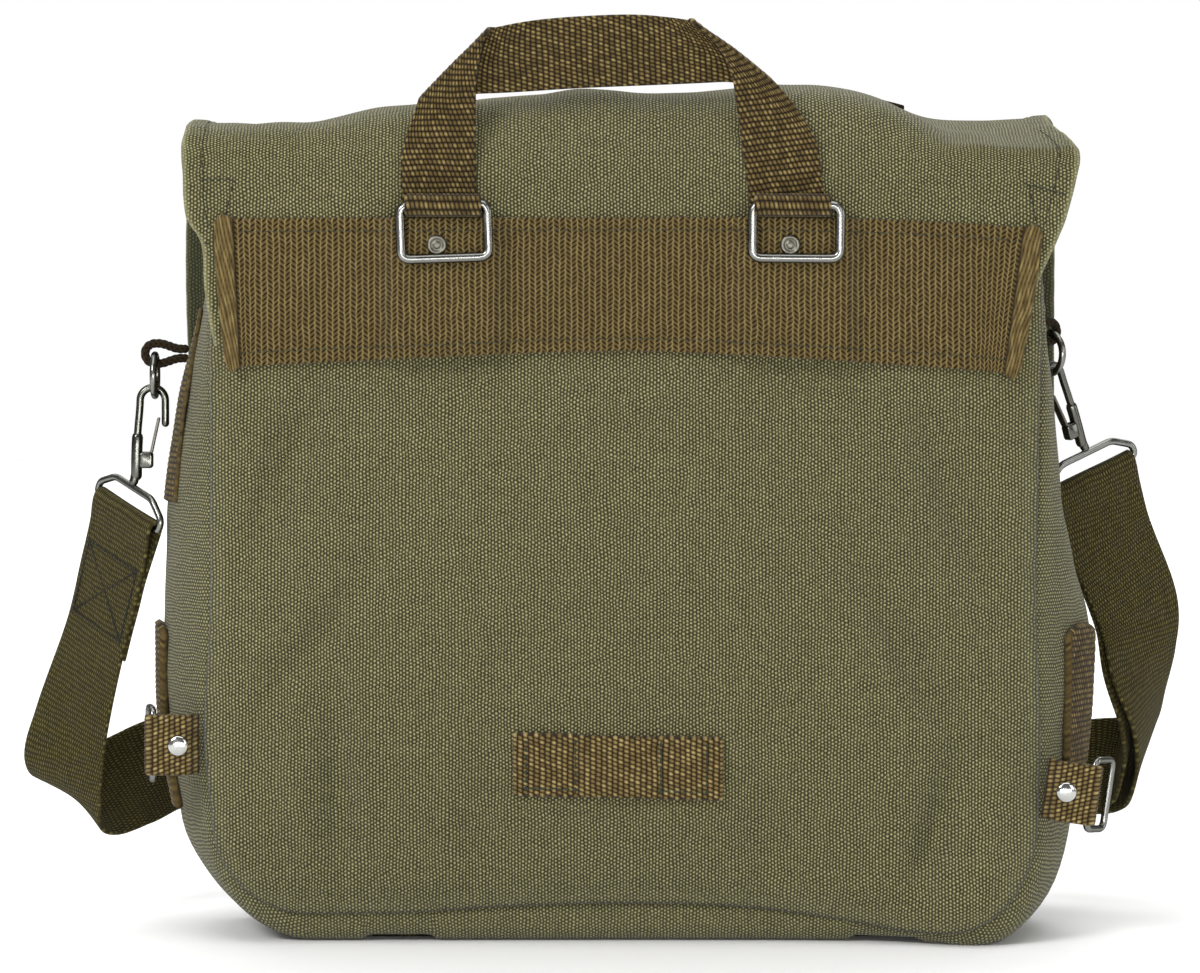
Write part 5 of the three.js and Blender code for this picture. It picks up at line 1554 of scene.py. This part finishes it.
FRAME_CORNERS = [(-13, 0), (13, 0), (22.3, -6), (22.3, -11), (-22.3, -11), (-22.3, -6)]
for row in CLIPS:
    side = row[0]
    origin, matrix, hang, hook_matrix, ring_top = clip_frame(row)
    cord_loop(side, origin, matrix)
    turn = np.linspace(0, 2 * math.pi, 65)[:-1]
    circle = stack(SIDE_RING_X, SIDE_RING_RADIUS * np.cos(turn),
                   ring_top - SIDE_RING_RADIUS + SIDE_RING_RADIUS * np.sin(turn))
    metal_piece(f"side_ring_{side}", [wire(circle, SIDE_RING_WIRE, 18, True)], nickel, matrix, origin)
    snap_hook(side, hang, hook_matrix)
    bar, down, across_way = frame_axes(row)
    metal_piece(f"strap_frame_{side}", [wire(rounded_loop(FRAME_CORNERS, 2.4), FRAME_WIRE, 18, True)], nickel,
                np.stack([bar, across_way, -down], -1), frame_seat(row))


def barred_loop(half_wide, half_tall, upright):
    """Rectangular loop of wire with a bar through its middle."""
    reach = half_tall if upright else half_wide
    ends = np.linspace(-reach + 0.5, reach - 0.5, 8)
    bar = stack(0.0, 0.0, ends) if upright else stack(ends, 0.0, 0.0)
    return [ring_loop(half_wide, -half_tall, half_tall, 3.2, BUCKLE_WIRE, 16), wire(bar, 1.45, 16)]


for side, middle_x in CLOSURES:
    metal_piece(f"closure_buckle_{side}", barred_loop(BUCKLE_WIDE, BUCKLE_TALL, False), nickel,
                shift=(middle_x, hem_y(middle_x) + BUCKLE_OUT, BUCKLE_Z))
# just behind the return layer of the strap
SLIDER_AT = (60, 114 - 1.5 * STRAP - 1.4 - GAP - BUCKLE_WIRE, 24.7)
slider = metal_piece("strap_slider", barred_loop(12, 23, True), nickel, shift=SLIDER_AT)

strap_path[0] * MM
strap_length * MM
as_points(strap_path[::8] * MM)
back_path[-1] * MM
back_length * MM
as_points(back_path[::-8] * MM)


# Stitches

def stitch_tree():
    """Stitches of thread along lines of points, as one mesh."""
    tree = bpy.data.node_groups.new("stitches", "GeometryNodeTree")
    for way, label, kind, value in (
        ("INPUT", "Geometry", "Geometry", None), ("INPUT", "Pitch", "Float", 0.0030),
        ("INPUT", "Stitch Length", "Float", 0.0021), ("INPUT", "Thread Radius", "Float", 0.00032),
        ("INPUT", "Thread", "Material", None), ("OUTPUT", "Geometry", "Geometry", None),
    ):
        made = tree.interface.new_socket(label, in_out=way, socket_type="NodeSocket" + kind)
        if value is not None:
            made.default_value = value
    nodes = {key: tree.nodes.new(kind) for key, kind in (
        ("start", "NodeGroupInput"), ("end", "NodeGroupOutput"), ("curve", "GeometryNodeMeshToCurve"),
        ("even", "GeometryNodeResampleCurve"), ("bead", "GeometryNodeMeshUVSphere"),
        ("tangent", "GeometryNodeInputTangent"), ("align", "FunctionNodeAlignRotationToVector"),
        ("half", "ShaderNodeMath"), ("size", "ShaderNodeCombineXYZ"), ("place", "GeometryNodeInstanceOnPoints"),
        ("real", "GeometryNodeRealizeInstances"), ("soft", "GeometryNodeSetShadeSmooth"),
        ("paint", "GeometryNodeSetMaterial"),
    )}
    nodes["even"].mode = "LENGTH"
    nodes["align"].axis = "X"
    nodes["half"].operation = "MULTIPLY"
    for label, value in (("Segments", 8), ("Rings", 6), ("Radius", 1.0)):
        nodes["bead"].inputs[label].default_value = value
    nodes["half"].inputs[1].default_value = 0.5
    for source, output, target, into in (
        ("start", "Geometry", "curve", "Mesh"), ("curve", "Curve", "even", "Curve"),
        ("start", "Pitch", "even", "Length"), ("even", "Curve", "place", "Points"),
        ("bead", "Mesh", "place", "Instance"), ("tangent", "Tangent", "align", "Vector"),
        ("align", "Rotation", "place", "Rotation"), ("start", "Stitch Length", "half", 0), ("half", 0, "size", "X"),
        ("start", "Thread Radius", "size", "Y"), ("start", "Thread Radius", "size", "Z"),
        ("size", "Vector", "place", "Scale"), ("place", "Instances", "real", "Geometry"),
        ("real", "Geometry", "soft", "Geometry"), ("soft", "Geometry", "paint", "Geometry"),
        ("start", "Thread", "paint", "Material"), ("paint", "Geometry", "end", "Geometry"),
    ):
        tree.links.new(nodes[source].outputs[output], nodes[target].inputs[into])
    return tree


STITCHES = stitch_tree()


def stitches(name, lines, thread, pitch=3.0, length=2.1, radius=0.32):
    """Rows of stitches along lines of points: pitch, length of a stitch and radius of the thread."""
    points, edges = [], []
    for line in lines:
        start = len(points)
        points += [tuple(p * MM) for p in np.asarray(line, float)]
        edges += [(k, k + 1) for k in range(start, len(points) - 1)]
    mesh = bpy.data.meshes.new(name + "_line")
    mesh.from_pydata(points, edges, [])
    guide = show(name + "_line", mesh)
    sewing = guide.modifiers.new("sewing", "NODES")
    sewing.node_group = STITCHES
    values = {"Pitch": pitch * MM, "Stitch Length": length * MM, "Thread Radius": radius * MM, "Thread": thread}
    for item in STITCHES.interface.items_tree:
        if item.in_out == "INPUT" and item.name in values:
            sewing[item.identifier] = values[item.name]
    bpy.context.view_layer.update()
    sewn = guide.evaluated_get(bpy.context.evaluated_depsgraph_get())
    plain_mesh = bpy.data.meshes.new_from_object(sewn)
    plain_mesh.name = name
    guide.modifiers.clear()
    bpy.data.objects.remove(guide)
    made = show(name, plain_mesh)
    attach(made, "bag")


def line_between(corners, step=2.0):
    """Points along a line through corners."""
    out = []
    for a, b in zip(corners[:-1], corners[1:]):
        a, b = np.asarray(a, float), np.asarray(b, float)
        count = max(2, int(np.linalg.norm(b - a) / step))
        out += list(a + (b - a) * np.linspace(0, 1, count, endpoint=False)[:, None])
    return np.array(out + [np.asarray(corners[-1], float)])


def on_loop(corners):
    flat = line_between(corners)
    x, z, _, outer = loop_place(flat[:, 0], flat[:, 1])
    return stack(x, back_y(x, z) - outer + 0.1, z)


far_left, near_left, near_right, far_right = LOOP_SEAMS
loop_lines = [on_loop([(u, -reach), (u, reach)]) for u, reach in zip(LOOP_SEAMS, (9.5, 9.8, 9.8, 9.5))]
loop_lines += [on_loop([(a, -9.6), (b, -9.6)]) for a, b in ((far_left, near_left), (near_right, far_right))]
stitches("belt_loop_stitches", loop_lines, green_thread, 3.0, 2.5, 0.45)


def on_flap_back(corners):
    flat = line_between(corners)
    x, z = flat[:, 0], flat[:, 1]
    return stack(x, back_y(x, np.minimum(z, 321)) - FLAP_OUT - 0.55, z)


corner_lines = [
    on_flap_back([(-172.5, 315.4), (-160, 315.9), (-164, 299)]),
    on_flap_back([(164.4, 313.7), (179, 310)]),
    on_flap_back([(165.6, 312), (168.5, 297)]),
    on_flap_back([(-171.2, 289.6), (-167.8, 290)]),
    on_flap_back([(167, 288.5), (170.5, 288.2)]),
]
stitches("flap_corner_stitches", corner_lines, olive_thread, 3.0, 2.6, 0.3)


def on_band(share, low, high):
    u = np.linspace(low, high, 160)
    x, z = band_point(u, share)
    return stack(x, band_inner_y(x, z) - WEBBING - 0.12, z)


seam_share = BAND_SEAM / BAND_WIDTH
band_lines = [on_band(share, -157, 160) for share in (seam_share, 1 - seam_share)]
stitches("band_stitches", band_lines, green_thread, 3.4, 2.0, 0.26)


def hem_line(right, inset=HEM_SEAM):
    """Stitch line beside the flap's free edge."""
    keys = np.linspace(44, FLAP_KEYS[-1] - inset, 260)
    grid = flap_surface(np.array([0.0, 0.5, 1.0]), keys)
    normals = grid_normals(grid)
    outward = np.sign(np.sum(normals * (grid - [0, 0, 250]) * [0, 1, 1], -1).mean())
    width = grid[:, 2, 0] - grid[:, 0, 0]
    shares = 1 - inset / width if right else inset / width
    points = np.array([flap_surface(np.array([s]), np.array([k]))[0, 0] for s, k in zip(shares, keys)])
    return points + normals[:, 1] * outward * 0.4


stitches("flap_hem_stitches", [hem_line(False), hem_line(True)], olive_thread, 3.2, 2.8, 0.24)


def on_strap(corners):
    """Points on the camera-side face of the strap below the left clip: distance down, place across."""
    flat = line_between(corners)
    bar, down, across_way = frame_axes(left_clip)
    root = frame_seat(left_clip)
    out = np.interp(flat[:, 0], [4, 12, 30, 80], [2.6, 1.4, PAIR, PAIR]) + STRAP / 2 + 0.12
    return root + down * (FRAME_HEIGHT + flat[:, :1]) + bar * flat[:, 1:] - across_way * out[:, None]


box_low, box_high, box_wide = SEWN_LENGTH, 20.0, 17.3
box = [(box_high, -box_wide), (box_high, box_wide), (box_low, box_wide), (box_low, -box_wide)]
strap_lines_sewn = [on_strap(box + box[:1]), on_strap([box[0], box[2]]), on_strap([box[1], box[3]])]
stitches("strap_box_stitches", strap_lines_sewn, dark_thread, 2.8, 2.6, 0.5)


# Floor and light

FLOOR_HALF = 4000


def floor():
    corners = [[x, y, 0] for x in (-FLOOR_HALF, FLOOR_HALF) for y in (-FLOOR_HALF, FLOOR_HALF)]
    made, tree, shader = material("pale_floor")
    fill(tree, shader, Base_Color=toned(tree, (0.9, 0.9, 0.9, 1), Size=2.0, Amount=0.02), Roughness=0.7)
    build("floor", corners, [[0, 2, 3, 1]], made)


def area_light(name, place, aim, size, power):
    data = bpy.data.lights.new(name, "AREA")
    data.shape = "RECTANGLE"
    data.size, data.size_y = size
    data.energy = power
    lamp = show(name, data)
    lamp.location = place
    lamp.rotation_euler = (Vector(aim) - Vector(place)).to_track_quat("-Z", "Y").to_euler()


def studio_world():
    """White behind and above the bag, dim behind the camera so that the wire has something dark to show."""
    world = bpy.data.worlds.new("studio")
    world.use_nodes = True
    tree = world.node_tree
    way = add(tree, "TexCoord").outputs["Generated"]
    depth_part = add(tree, "SeparateXYZ", None, Vector=way).outputs["Y"]
    shade = add(tree, "MapRange", None, Value=depth_part, From_Min=0.45, From_Max=0.9, To_Min=0.16, To_Max=1.0)
    fill(tree, tree.nodes["Background"], Color=shade.outputs[0], Strength=1.0)
    bpy.context.scene.world = world


floor()
area_light("key_light", (-1.5, -1.75, 1.7), (0, 0, 0.2), (0.9, 0.9), 46)
area_light("fill_light", (1.5, -1.7, 0.9), (0, 0, 0.2), (1.0, 1.2), 9)
area_light("top_light", (0.0, -0.3, 2.2), (0, 0, 0.2), (2.2, 1.8), 31)
area_light("low_light", (0.1, -2.2, 0.15), (0, 0, 0.02), (2.0, 0.2), 26)
area_light("side_light", (1.8, -0.1, 0.5), (0.2, 0.06, 0.1), (0.5, 0.7), 4)
area_light("backdrop_light", (0.0, 2.6, 2.4), (0, 2.6, 0), (5.0, 2.6), 130)
studio_world()
bpy.context.scene.view_settings.view_transform = "Standard"
